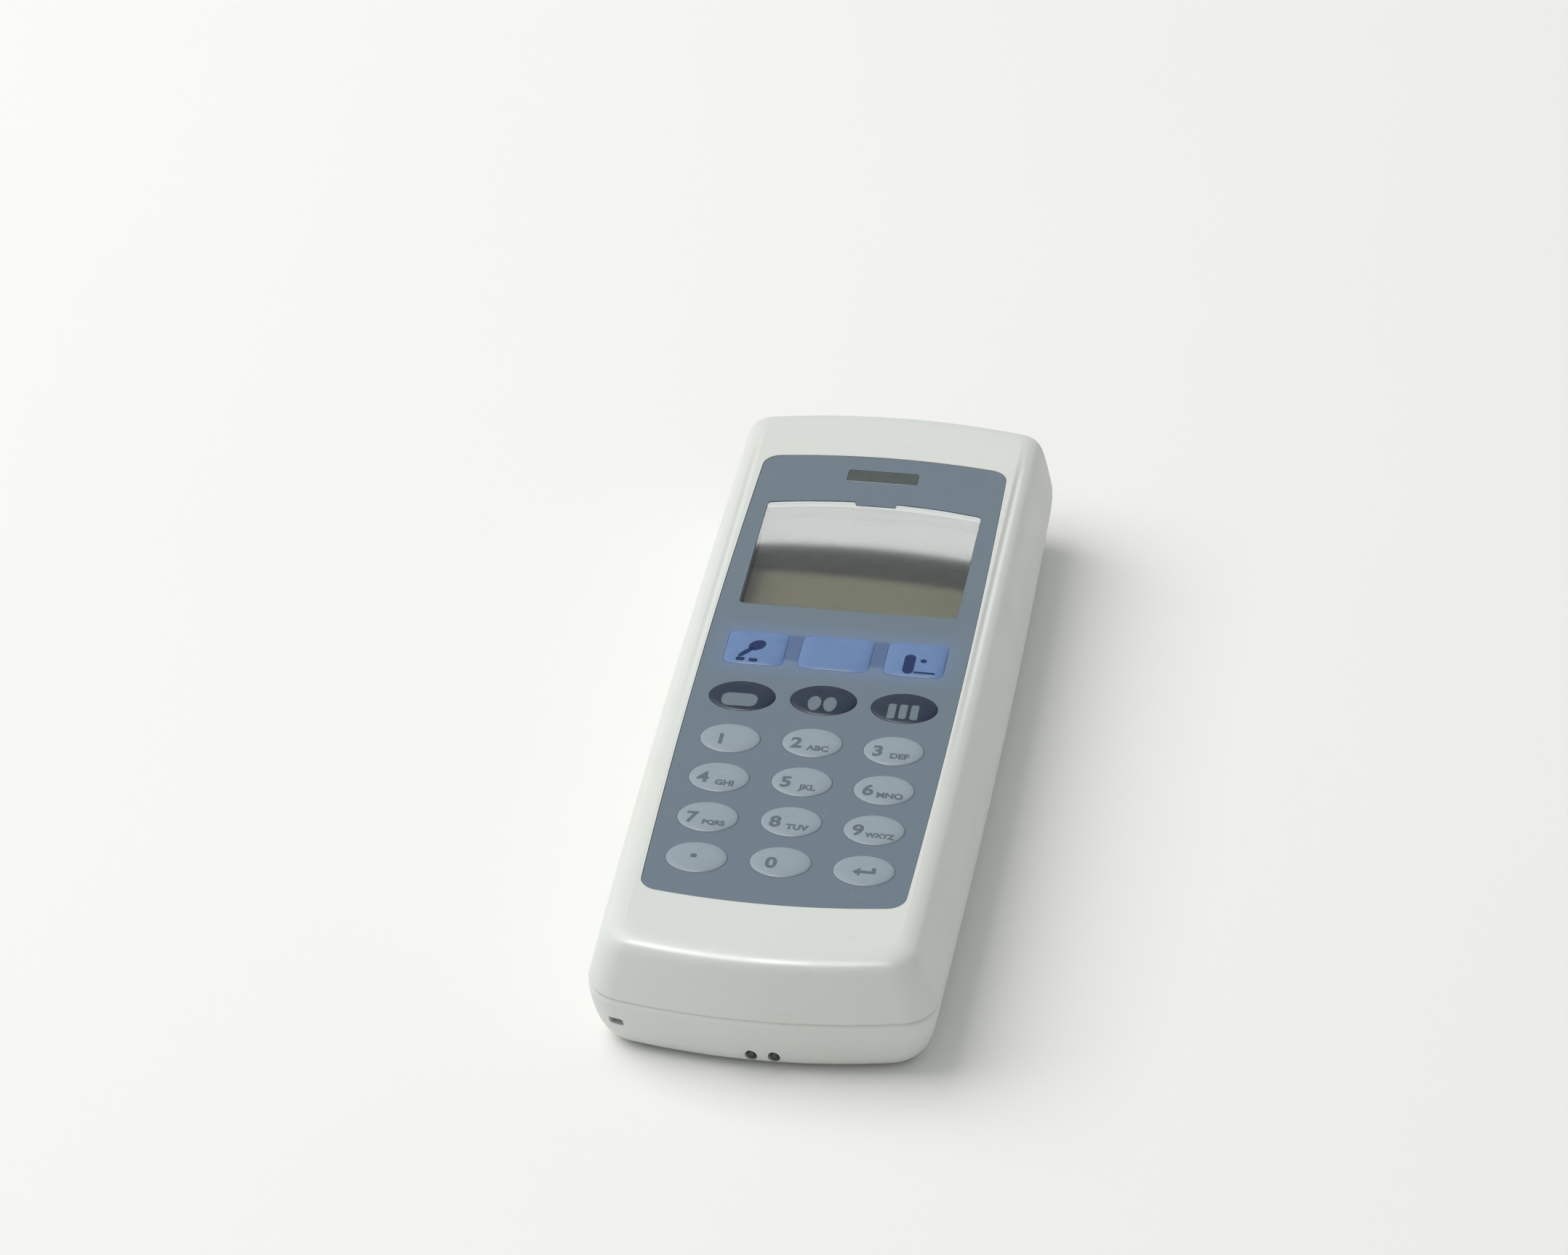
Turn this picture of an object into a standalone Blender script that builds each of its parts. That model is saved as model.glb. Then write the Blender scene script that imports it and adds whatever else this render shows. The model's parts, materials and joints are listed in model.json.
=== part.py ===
"""Handheld keypad terminal with a display, a scan window and a battery bay.

Frame: +X to the user's right, +Y from the keypad end towards the head, +Z up.
The origin is the centre of the body's plan, on the plane that the underside rests on.
"""
import math

import bmesh
import bpy
from mathutils import Vector

MM = 0.001

# ---- Driving dimensions -------------------------------------------------------------
BODY_WIDTH = 57.6 * MM
BODY_LENGTH = 163.2 * MM
BODY_THICKNESS = 23.0 * MM
PARTING_HEIGHT = 11.5 * MM
WALL = 1.8 * MM
GAP = 0.3 * MM                      # clearance between neighbouring pieces
LIP_HEIGHT = 1.3 * MM               # tongue of the lower shell inside the upper one

BODY_END_ANGLE = math.radians(12)   # slope of the bowed ends where they meet a corner
HEAD_CORNER = 4.0 * MM
TAIL_CORNER = 6.5 * MM
HEAD_SIDE_BOW = 1.0 * MM            # how far the long sides draw in towards the head's corners
TAIL_SIDE_BOW = 0.7 * MM

PANEL_WIDTH = 44.4 * MM
PANEL_LENGTH = 131.0 * MM
PANEL_CENTRE_Y = -0.25 * MM
PANEL_CORNER = 3.2 * MM
PANEL_SIDE_BOW = 0.8 * MM
PANEL_END_ANGLE = math.radians(9)
PANEL_THICKNESS = 0.5 * MM
PANEL_TOP = BODY_THICKNESS - 0.1 * MM

WINDOW_WIDTH = 37.4 * MM
WINDOW_LENGTH = 33.5 * MM
WINDOW_CENTRE_Y = 34.4 * MM
WINDOW_CORNER = 0.8 * MM
WINDOW_HEAD_ANGLE = math.radians(12)    # the window's head edge follows the curve of the head
WINDOW_TAIL_ANGLE = math.radians(1)
INDICATOR_WIDTH = 12.4 * MM
INDICATOR_LENGTH = 3.6 * MM
INDICATOR_Y = 59.2 * MM

KEY_PITCH_X = 13.6 * MM
KEY_PITCH_Y = 11.05 * MM
KEY_BOTTOM_ROW_Y = -54.8 * MM
KEY_ROW_BOW = 0.5 * MM              # the middle column stands this much nearer to the head
KEY_SIZE = (9.8 * MM, 7.8 * MM)
MENU_KEY_SIZE = (10.9 * MM, 8.2 * MM)
MENU_KEY_Y = -9.4 * MM
FUNCTION_KEY_Y = 4.75 * MM
FUNCTION_KEY_LENGTH = 9.4 * MM
FUNCTION_KEY_WIDTHS = (9.9 * MM, 11.8 * MM, 9.9 * MM)
FUNCTION_KEY_SPACING = 2.7 * MM     # panel between two function keys
KEY_RISE = 0.5 * MM                 # middle of a low pillow-shaped cap above the panel
KEY_FLANGE = 0.8 * MM               # lip that keeps a key under the shell
KEY_FOOT = 18.5 * MM                # height of the underside of a key at rest
PILL_RISE = 1.3 * MM                # contact pill above the key mat, just short of a pressed key

BOARD_BOTTOM = 13.8 * MM
BOARD_TOP = 15.4 * MM
BOARD_SIZE = (46.4 * MM, 129.0 * MM)
DECK = BOARD_TOP + GAP              # height where pieces stand on the board
UNDER_BOARD = BOARD_BOTTOM - GAP    # height of the tops of pieces under the board

BAY_WIDTH = 24.8 * MM
BAY_LENGTH = 54.0 * MM
BAY_CENTRE_Y = -37.0 * MM
BAY_WALL = 1.4 * MM
BAY_HEIGHT = 13.2 * MM
COVER_THICKNESS = 1.2 * MM
COVER_MARGIN = 2.8 * MM
CELL_RADIUS = 5.25 * MM
CELL_LENGTH = 44.5 * MM
CELL_X = 6.1 * MM
CELL_HEIGHT = 7.7 * MM

SCREW_X = 19.5 * MM
SCREW_Y = 70.0 * MM
SCREW_RADIUS = 1.1 * MM
BOSS_RADIUS = 3.2 * MM

CONTACT_PAIR_X = 0.8 * MM           # the pair stands a little right of the centre
CONTACT_HALF_SPACING = 1.85 * MM
CONTACT_HEIGHT = 3.2 * MM
CONTACT_HOLE = (1.0 * MM, 1.5 * MM)     # half width and half height of the oval openings

SCAN_WIDTH = 30.0 * MM
SCAN_BOTTOM = 4.8 * MM
SCAN_TOP = 14.8 * MM

# Outer profiles, from the parting line outwards: height, inset of the sides, inset of the ends.
UPPER_PROFILE = (
    (PARTING_HEIGHT + GAP / 2, 0.0, 0.0),
    (12.7 * MM, 0.05 * MM, 0.05 * MM),
    (16.8 * MM, 1.15 * MM, 0.60 * MM),
    (19.9 * MM, 2.20 * MM, 1.10 * MM),
    (21.1 * MM, 2.85 * MM, 1.40 * MM),
    (22.1 * MM, 3.60 * MM, 2.00 * MM),
    (22.75 * MM, 4.85 * MM, 3.00 * MM),
    (BODY_THICKNESS, 6.00 * MM, 4.60 * MM),
)
LOWER_PROFILE = (
    (PARTING_HEIGHT - GAP / 2, 0.0, 0.0),
    (10.3 * MM, 0.0, 0.0),
    (7.5 * MM, 0.40 * MM, 0.50 * MM),
    (4.6 * MM, 1.10 * MM, 1.40 * MM),
    (2.2 * MM, 2.10 * MM, 2.60 * MM),
    (0.7 * MM, 3.40 * MM, 4.10 * MM),
    (0.0, 5.00 * MM, 5.80 * MM),
)

PRODUCT = bpy.data.collections.new("handheld_terminal")
CUTTERS = bpy.data.collections.new("cutters")


# ---- Scene and materials --------------------------------------------------------------
def clear_scene():
    """Remove whatever the file opened with, and link the two collections."""
    for item in list(bpy.data.objects):
        bpy.data.objects.remove(item, do_unlink=True)
    for collection in (PRODUCT, CUTTERS):
        bpy.context.scene.collection.children.link(collection)


def plastic(name, color, roughness=0.45, metallic=0.0, alpha=1.0):
    """A Principled material, one per finish."""
    material = bpy.data.materials.new(name)
    material.use_nodes = True
    shader = material.node_tree.nodes["Principled BSDF"]
    shader.inputs["Base Color"].default_value = (*color, 1.0)
    shader.inputs["Roughness"].default_value = roughness
    shader.inputs["Metallic"].default_value = metallic
    shader.inputs["Alpha"].default_value = alpha
    material.diffuse_color = (*color, alpha)
    return material


def make_materials():
    """Every finish on the product, by slot name."""
    return {
        "shell": plastic("shell", (0.78, 0.79, 0.75), 0.42),
        "panel": plastic("panel", (0.16, 0.20, 0.25), 0.50),
        "light_key": plastic("light_key", (0.48, 0.54, 0.56), 0.50),
        "dark_key": plastic("dark_key", (0.03, 0.05, 0.09), 0.40),
        "blue_key": plastic("blue_key", (0.20, 0.30, 0.72), 0.40),
        "lens": plastic("lens", (0.90, 0.92, 0.92), 0.05, alpha=0.25),
        "dark_lens": plastic("dark_lens", (0.05, 0.07, 0.07), 0.15),
        "scan_red": plastic("scan_red", (0.12, 0.01, 0.01), 0.08),
        "lcd": plastic("lcd", (0.17, 0.16, 0.09), 0.25),
        "black": plastic("black", (0.02, 0.02, 0.02), 0.60),
        "silicone": plastic("silicone", (0.30, 0.32, 0.34), 0.75),
        "board": plastic("board", (0.02, 0.16, 0.07), 0.45),
        "steel": plastic("steel", (0.60, 0.60, 0.60), 0.30, metallic=1.0),
        "nickel": plastic("nickel", (0.30, 0.30, 0.27), 0.40, metallic=1.0),
        "cell": plastic("cell", (0.10, 0.25, 0.14), 0.35),
        "led": plastic("led", (0.85, 0.88, 0.90), 0.30),
    }


# ---- Mesh helpers ---------------------------------------------------------------------
def add_mesh_object(name, bm, material=None, location=(0, 0, 0)):
    """Turn a bmesh into an object. Without a material it is a cutter."""
    bmesh.ops.recalc_face_normals(bm, faces=bm.faces)
    mesh = bpy.data.meshes.new(name)
    bm.to_mesh(mesh)
    bm.free()
    item = bpy.data.objects.new(name, mesh)
    item.location = location
    if material is None:
        CUTTERS.objects.link(item)
        item.hide_render = True
        item.display_type = "WIRE"
    else:
        mesh.materials.append(material)
        mesh.shade_smooth()
        mesh.set_sharp_from_angle(angle=math.radians(35))
        PRODUCT.objects.link(item)
    return item


def quarter_outline(width, length, corner, side_bow, end_angle, steps):
    """A quarter of a plan outline: a bowed side, a round corner and a bowed end."""
    side_steps, corner_steps, end_steps = steps
    half_width, half_length = width / 2, length / 2
    side_angle = math.atan(2 * side_bow / half_length)
    centre_x = half_width - side_bow - corner * math.cos(side_angle)
    end_x = centre_x + corner * math.sin(end_angle)
    end_bow = end_x * math.tan(end_angle) / 2
    centre_y = half_length - end_bow - corner * math.cos(end_angle)
    side_y = centre_y + corner * math.sin(side_angle)
    quarter = []
    for step in range(side_steps):
        share = step / side_steps
        quarter.append((half_width - side_bow * share ** 2, side_y * share))
    for step in range(corner_steps + 1):
        share = step / corner_steps
        angle = side_angle + share * (math.pi / 2 - end_angle - side_angle)
        quarter.append((centre_x + corner * math.cos(angle), centre_y + corner * math.sin(angle)))
    for step in range(1, end_steps + 1):
        share = 1 - step / end_steps
        quarter.append((end_x * share, half_length - end_bow * share ** 2))
    return quarter


def closed_outline(head, tail):
    """Mirror the quarters of the two ends into one counter-clockwise outline."""
    head_half = head + [(-x, y) for x, y in reversed(head[:-1])]
    tail_half = tail + [(-x, y) for x, y in reversed(tail[:-1])]
    return head_half + [(x, -y) for x, y in reversed(tail_half[1:-1])]


def outline(width, length, corner, side_bow=0.0, end_angle=0.0, steps=(4, 4, 4)):
    """Counter-clockwise plan outline, the same at both ends."""
    quarter = quarter_outline(width, length, corner, side_bow, end_angle, steps)
    return closed_outline(quarter, quarter)


def oval(width, length, count=16):
    """Elliptical outline, counter-clockwise."""
    turns = [2 * math.pi * step / count for step in range(count)]
    return [(width / 2 * math.cos(turn), length / 2 * math.sin(turn)) for turn in turns]


def lift(points, height, offset_y=0.0):
    """Stand a plan outline at a height."""
    return [Vector((x, y + offset_y, height)) for x, y in points]


def loft(bm, rings):
    """Skin a run of matching rings and cap both ends: one closed body."""
    loops = [[bm.verts.new(point) for point in ring] for ring in rings]
    count = len(loops[0])
    for lower, upper in zip(loops, loops[1:]):
        for index in range(count):
            following = (index + 1) % count
            bm.faces.new((lower[index], lower[following], upper[following], upper[index]))
    bm.faces.new(reversed(loops[0]))
    bm.faces.new(loops[-1])


def lofted(name, rings, material=None, location=(0, 0, 0)):
    """One closed lofted piece."""
    bm = bmesh.new()
    loft(bm, rings)
    return add_mesh_object(name, bm, material, location)


def prisms(name, plans, low, high):
    """A cutter made of upright prisms, one for each (outline, x, y)."""
    bm = bmesh.new()
    for points, x, y in plans:
        shifted = [(px + x, py + y) for px, py in points]
        loft(bm, [lift(shifted, low), lift(shifted, high)])
    return add_mesh_object(name, bm)


def box(name, low, high, material=None, bevel=0.0):
    """A block between two corners, with its origin at its centre."""
    low, high = Vector(low), Vector(high)
    bm = bmesh.new()
    bmesh.ops.create_cube(bm, size=1.0)
    bmesh.ops.scale(bm, vec=high - low, verts=bm.verts)
    item = add_mesh_object(name, bm, material, (low + high) / 2)
    if bevel:
        modifier = item.modifiers.new("rounded_edges", "BEVEL")
        modifier.width = bevel
        modifier.segments = 2
        modifier.limit_method = "ANGLE"
    return item


def rod(name, radius, low, high, x, y, material=None, segments=20):
    """An upright cylinder."""
    bm = bmesh.new()
    bmesh.ops.create_cone(bm, cap_ends=True, segments=segments, radius1=radius, radius2=radius,
                          depth=high - low)
    return add_mesh_object(name, bm, material, (x, y, (low + high) / 2))


def turned(name, profile, material, location, rotation=(0, 0, 0), steps=18):
    """A turned piece: (radius, height) points from the top of the axis to its bottom."""
    mesh = bpy.data.meshes.new(name)
    edges = [(index, index + 1) for index in range(len(profile) - 1)]
    mesh.from_pydata([(radius, 0, height) for radius, height in profile], edges, [])
    mesh.materials.append(material)
    item = bpy.data.objects.new(name, mesh)
    item.location = location
    item.rotation_euler = rotation
    PRODUCT.objects.link(item)
    screw = item.modifiers.new("turned", "SCREW")
    screw.steps = steps
    screw.render_steps = steps
    screw.use_merge_vertices = True
    screw.merge_threshold = 0.00001
    screw.use_smooth_shade = True
    return item


def combine(item, tool, operation="DIFFERENCE"):
    """Cut a tool from a piece, or join it on with UNION."""
    modifier = item.modifiers.new(tool.name, "BOOLEAN")
    modifier.operation = operation
    modifier.solver = "EXACT"
    modifier.object = tool


# ---- Case -----------------------------------------------------------------------------
def body_ring(height, side_inset, end_inset):
    """The body's outline at one height. The head's corners are tighter than the tail's."""
    size = (BODY_WIDTH - 2 * side_inset, BODY_LENGTH - 2 * end_inset)
    steps = (5, 5, 4)
    head_corner = max(HEAD_CORNER - 0.2 * side_inset, 2 * MM)
    tail_corner = max(TAIL_CORNER - 0.35 * side_inset, 2 * MM)
    head_bow = max(HEAD_SIDE_BOW - 0.3 * side_inset, 0.1 * MM)
    head = quarter_outline(*size, head_corner, head_bow, BODY_END_ANGLE, steps)
    tail = quarter_outline(*size, tail_corner, TAIL_SIDE_BOW, BODY_END_ANGLE, steps)
    return lift(closed_outline(head, tail), height)


def shell_rings(profile, inner_face, lip=()):
    """Outer skin from the middle of the face to the rim, the lip, then the inner skin back."""
    outer = [body_ring(*level) for level in reversed(profile)]
    inner_start = 2 if lip else 0
    inner = [body_ring(height, side + WALL, end + WALL) for height, side, end in profile[inner_start:4]]
    _, last_side, last_end = profile[4]
    inner.append(body_ring(inner_face, last_side + WALL, last_end + WALL))
    return outer + [body_ring(*level) for level in lip] + inner


def rim_lip():
    """The lower shell's tongue, which stands just inside the upper shell's wall."""
    rim = PARTING_HEIGHT - GAP / 2
    top = rim + LIP_HEIGHT
    outside = WALL + 0.25 * MM
    inside = outside + 0.8 * MM
    return ((rim, outside, outside), (top, outside, outside), (top, inside, inside),
            (rim - MM, inside, inside))


def panel_outline(grow=0.0):
    return outline(PANEL_WIDTH + 2 * grow, PANEL_LENGTH + 2 * grow, PANEL_CORNER + grow,
                   PANEL_SIDE_BOW, PANEL_END_ANGLE, steps=(4, 4, 3))


def window_outline(grow=0.0):
    form = (WINDOW_WIDTH + 2 * grow, WINDOW_LENGTH + 2 * grow, WINDOW_CORNER, 0.0)
    steps = (1, 2, 4)
    return closed_outline(quarter_outline(*form, WINDOW_HEAD_ANGLE, steps),
                          quarter_outline(*form, WINDOW_TAIL_ANGLE, steps))


def indicator_outline(grow=0.0):
    return outline(INDICATOR_WIDTH + 2 * grow, INDICATOR_LENGTH + 2 * grow, 0.6 * MM, steps=(1, 2, 1))


def scan_cutter():
    """The opening for the scan window, across the parting line at the head."""
    return box("scan_opening_cutter", (-SCAN_WIDTH / 2, 70 * MM, SCAN_BOTTOM),
               (SCAN_WIDTH / 2, 90 * MM, SCAN_TOP), bevel=1.2 * MM)


def corner_rods(name, radius, low, high):
    """One tool made of four upright rods at the case screws."""
    return prisms(name, [(oval(2 * radius, 2 * radius, 16), x, y) for x, y in screw_places()],
                  low, high)


def screw_places():
    return [(side * SCREW_X, end * SCREW_Y) for end in (-1, 1) for side in (-1, 1)]


def make_upper_shell(materials, keys, scan_opening):
    shell = lofted("upper_shell", shell_rings(UPPER_PROFILE, BODY_THICKNESS - WALL),
                   materials["shell"])
    combine(shell, corner_rods("upper_boss_tool", BOSS_RADIUS - 0.6 * MM,
                               PARTING_HEIGHT + LIP_HEIGHT, BODY_THICKNESS - WALL / 2), "UNION")
    combine(shell, corner_rods("upper_screw_hole_cutter", SCREW_RADIUS + GAP,
                               PARTING_HEIGHT - 2 * MM, 18.5 * MM))
    combine(shell, prisms("panel_recess_cutter", [(panel_outline(GAP), 0, PANEL_CENTRE_Y)],
                          BODY_THICKNESS - 0.9 * MM, BODY_THICKNESS + MM))
    openings = [(window_outline(0.7 * MM), 0, WINDOW_CENTRE_Y),
                (indicator_outline(GAP), 0, INDICATOR_Y)]
    openings += [(key_outline(key, GAP), key["x"], key["y"]) for key in keys]
    combine(shell, prisms("deck_opening_cutter", openings, 20 * MM, 25 * MM))
    combine(shell, scan_opening)
    return shell


def make_lower_shell(materials, scan_opening):
    shell = lofted("lower_shell", shell_rings(LOWER_PROFILE, WALL, rim_lip()), materials["shell"])
    inner_low = (-BAY_WIDTH / 2, BAY_CENTRE_Y - BAY_LENGTH / 2)
    inner_high = (BAY_WIDTH / 2, BAY_CENTRE_Y + BAY_LENGTH / 2)
    outer_low = [value - BAY_WALL for value in inner_low]
    outer_high = [value + BAY_WALL for value in inner_high]
    combine(shell, box("bay_tool", (*outer_low, MM), (*outer_high, BAY_HEIGHT)), "UNION")
    combine(shell, corner_rods("lower_boss_tool", BOSS_RADIUS, MM, PARTING_HEIGHT - GAP / 2), "UNION")
    combine(shell, box("bay_cutter", (*inner_low, -MM), (*inner_high, BAY_HEIGHT + MM)))
    combine(shell, prisms("cover_recess_cutter", [(cover_outline(GAP), 0, BAY_CENTRE_Y)],
                          -MM, COVER_THICKNESS + GAP))
    combine(shell, corner_rods("lower_screw_hole_cutter", SCREW_RADIUS + GAP, -MM, PARTING_HEIGHT + MM))
    combine(shell, corner_rods("screw_head_cutter", 2.6 * MM, -MM, 2.3 * MM))
    combine(shell, scan_opening)
    combine(shell, make_contact_holes())
    combine(shell, make_strap_hole())
    return shell


def contact_places():
    """Across the body, where the left and the right charging contact stand."""
    return [CONTACT_PAIR_X - CONTACT_HALF_SPACING, CONTACT_PAIR_X + CONTACT_HALF_SPACING]


def make_contact_holes():
    """Oval holes in the keypad end for the charging contacts."""
    bm = bmesh.new()
    half_width, half_height = CONTACT_HOLE
    for x in contact_places():
        loft(bm, [[Vector((x + across, y, CONTACT_HEIGHT + up))
                   for across, up in oval(2 * half_width, 2 * half_height)]
                  for y in (-BODY_LENGTH / 2 - 6 * MM, -BODY_LENGTH / 2 + 6 * MM)])
    return add_mesh_object("contact_hole_cutter", bm)


def make_strap_hole():
    """A slot for a wrist strap, through the wall of the keypad end's left corner."""
    hole = box("strap_hole_cutter", (-3.5 * MM, -1.25 * MM, -0.75 * MM),
               (3.5 * MM, 1.25 * MM, 0.75 * MM), bevel=0.4 * MM)
    hole.location = (-23.0 * MM, -78.5 * MM, 6.9 * MM)
    hole.rotation_euler = (0, 0, math.radians(66))
    return hole


def cover_outline(grow=0.0):
    width = BAY_WIDTH + 2 * COVER_MARGIN
    length = BAY_LENGTH + 2 * COVER_MARGIN
    return outline(width + 2 * grow, length + 2 * grow, 2 * MM + grow, steps=(1, 3, 1))


def make_battery_cover(materials):
    """The flush cover of the battery bay, with grip grooves and a snap tongue."""
    cover = lofted("battery_cover", [lift(cover_outline(), 0.0), lift(cover_outline(), COVER_THICKNESS)],
                   materials["shell"], (0, BAY_CENTRE_Y, 0))
    tongue_y = BAY_CENTRE_Y - BAY_LENGTH / 2 + 0.4 * MM
    combine(cover, box("cover_tongue_tool", (-1.6 * MM, tongue_y, 0.6 * MM),
                       (1.6 * MM, tongue_y + MM, 5 * MM)), "UNION")
    grooves = []
    for step in range(4):
        groove_y = BAY_CENTRE_Y - 19 * MM - 2 * MM * step
        grooves.append((outline(14 * MM, 0.9 * MM, 0.4 * MM, steps=(1, 2, 1)), 0, groove_y))
    combine(cover, prisms("cover_groove_cutter", grooves, -MM, 0.5 * MM))
    return cover


def make_case_screws(materials):
    profile = [(0, 16 * MM), (SCREW_RADIUS, 15.6 * MM), (SCREW_RADIUS, 2.0 * MM), (2.1 * MM, 2.0 * MM),
               (2.2 * MM, 0.7 * MM), (1.6 * MM, 0.4 * MM), (0, 0.3 * MM)]
    for number, (x, y) in enumerate(screw_places(), start=1):
        turned(f"case_screw_{number}", profile, materials["steel"], (x, y, 0), steps=12)


def make_scan_window(materials):
    clear = GAP
    box("scan_window", (-SCAN_WIDTH / 2 + clear, 77.6 * MM, SCAN_BOTTOM + clear),
        (SCAN_WIDTH / 2 - clear, 79.4 * MM, SCAN_TOP - clear), materials["scan_red"], bevel=0.4 * MM)


# ---- Front panel and display ----------------------------------------------------------
def make_keypad_overlay(materials, keys):
    """The thin panel around the keys and the display."""
    top = PANEL_TOP
    overlay = lofted("keypad_overlay", [lift(panel_outline(), top - PANEL_THICKNESS),
                                        lift(panel_outline(), top - 0.12 * MM),
                                        lift(panel_outline(-0.12 * MM), top)],
                     materials["panel"], (0, PANEL_CENTRE_Y, 0))
    openings = [(window_outline(), 0, WINDOW_CENTRE_Y), (indicator_outline(), 0, INDICATOR_Y)]
    openings += [(key_outline(key, GAP), key["x"], key["y"]) for key in keys]
    combine(overlay, prisms("panel_opening_cutter", openings, 20 * MM, 25 * MM))
    tab_y = WINDOW_CENTRE_Y + WINDOW_LENGTH / 2
    combine(overlay, box("panel_tab_tool", (-3.6 * MM, tab_y - 1.1 * MM, top - PANEL_THICKNESS),
                         (3.6 * MM, tab_y + 0.6 * MM, top)), "UNION")
    return overlay


def make_display(materials):
    """Lens, foam gasket, glass and tray, from the top down."""
    lens_top = BODY_THICKNESS - 0.9 * MM
    lens = window_outline(0.4 * MM)
    lofted("display_lens", [lift(lens, lens_top - 1.2 * MM), lift(lens, lens_top)],
           materials["lens"], (0, WINDOW_CENTRE_Y, 0))
    tray_low, tray_high = 13.6 * MM, 53.4 * MM
    tray_half = 21.8 * MM
    rim = 1.0 * MM
    tray = box("lcd_tray", (-tray_half, tray_low, DECK), (tray_half, tray_high, 18.9 * MM),
               materials["black"])
    combine(tray, box("tray_cutter", (-tray_half + rim, tray_low + rim, DECK + rim),
                      (tray_half - rim, tray_high - rim, 20 * MM)))
    fit = rim + GAP
    box("lcd_glass", (-tray_half + fit, tray_low + fit, DECK + fit),
        (tray_half - fit, tray_high - fit, 18.6 * MM), materials["lcd"])
    gasket = box("display_gasket", (-21.5 * MM, 14.0 * MM, 19.2 * MM), (21.5 * MM, 53.0 * MM, 20.6 * MM),
                 materials["black"])
    combine(gasket, prisms("gasket_cutter", [(window_outline(0.2 * MM), 0, WINDOW_CENTRE_Y)],
                           19 * MM, 21 * MM))
    box("lcd_connector", (-9 * MM, 11.3 * MM, DECK), (9 * MM, 13.1 * MM, DECK + 1.8 * MM),
        materials["black"])


def make_indicator(materials):
    """A dark light pipe over its lamp."""
    pipe = indicator_outline(-GAP)
    foot = indicator_outline(0.9 * MM)
    foot_low, foot_high = 19.8 * MM, 20.8 * MM
    lofted("indicator_lens", [lift(foot, foot_low), lift(foot, foot_high), lift(pipe, foot_high),
                              lift(pipe, PANEL_TOP - 0.2 * MM)],
           materials["dark_lens"], (0, INDICATOR_Y, 0))
    box("indicator_lamp", (-2.5 * MM, INDICATOR_Y - 1.5 * MM, DECK),
        (2.5 * MM, INDICATOR_Y + 1.5 * MM, DECK + 1.6 * MM), materials["led"])


# ---- Keys -----------------------------------------------------------------------------
def key_table():
    """Every key: its name, place, plan size, form and finish."""
    keys = []
    rows = (("key_point", "key_0", "key_enter"), ("key_7", "key_8", "key_9"),
            ("key_4", "key_5", "key_6"), ("key_1", "key_2", "key_3"))
    for row, names in enumerate(rows):
        for column, name in zip((-1, 0, 1), names):
            y = KEY_BOTTOM_ROW_Y + row * KEY_PITCH_Y + row_bow(column)
            keys.append({"name": name, "x": column * KEY_PITCH_X, "y": y, "size": KEY_SIZE,
                         "form": "oval", "finish": "light_key"})
    outer_x = (FUNCTION_KEY_WIDTHS[1] + FUNCTION_KEY_WIDTHS[0]) / 2 + FUNCTION_KEY_SPACING
    for column, word, width in zip((-1, 0, 1), ("left", "middle", "right"), FUNCTION_KEY_WIDTHS):
        keys.append({"name": f"menu_key_{word}", "x": column * KEY_PITCH_X,
                     "y": MENU_KEY_Y + row_bow(column), "size": MENU_KEY_SIZE, "form": "oval",
                     "finish": "dark_key"})
        keys.append({"name": f"function_key_{word}", "x": column * outer_x, "y": FUNCTION_KEY_Y,
                     "size": (width, FUNCTION_KEY_LENGTH), "form": "block", "finish": "blue_key"})
    return keys


def row_bow(column):
    """The rows of oval keys bow gently towards the head in the middle column."""
    return 0.0 if column else KEY_ROW_BOW


def key_outline(key, grow=0.0):
    width, length = (size + 2 * grow for size in key["size"])
    if key["form"] == "oval":
        return oval(width, length)
    return outline(width, length, 1.2 * MM + max(grow, -MM), steps=(1, 3, 1))


def make_key(materials, key):
    """A key: flange, straight stem through the deck and a low pillow-shaped crown."""
    crown = PANEL_TOP + KEY_RISE
    flange = KEY_FLANGE if key["form"] == "oval" else GAP
    levels = ((KEY_FOOT, flange), (KEY_FOOT + MM, flange), (KEY_FOOT + 1.4 * MM, 0.0),
              (crown - 0.45 * MM, 0.0), (crown - 0.2 * MM, -0.5 * MM), (crown - 0.05 * MM, -1.4 * MM),
              (crown, -2.4 * MM))
    rings = [lift(key_outline(key, grow), height) for height, grow in levels]
    lofted(key["name"], rings, materials[key["finish"]], (key["x"], key["y"], 0))


def make_key_mat(materials, keys):
    """The silicone sheet on the board, with a contact pill under each key."""
    top = DECK + MM
    mat = box("key_mat", (-21.6 * MM, -60.5 * MM, DECK), (21.6 * MM, 10.6 * MM, top),
              materials["silicone"])
    pills = [(oval(5 * MM, 5 * MM, 8), key["x"], key["y"]) for key in keys]
    combine(mat, prisms("pill_tool", pills, top - 0.3 * MM, top + PILL_RISE), "UNION")
    lamp_holes = [(outline(3.6 * MM, 2.4 * MM, 0.4 * MM, steps=(1, 1, 1)), x, y)
                  for x, y in function_lamp_places(keys)]
    combine(mat, prisms("lamp_hole_cutter", lamp_holes, DECK - MM, top + MM))
    return mat


def function_lamp_places(keys):
    """A lamp sits below the pill of each function key."""
    return [(key["x"], key["y"] - 4.0 * MM) for key in keys if key["form"] == "block"]


def make_function_lamps(materials, keys):
    for word, (x, y) in zip(("left", "middle", "right"), function_lamp_places(keys)):
        box(f"function_lamp_{word}", (x - 1.5 * MM, y - 0.9 * MM, DECK),
            (x + 1.5 * MM, y + 0.9 * MM, DECK + 0.9 * MM), materials["led"])


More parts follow.
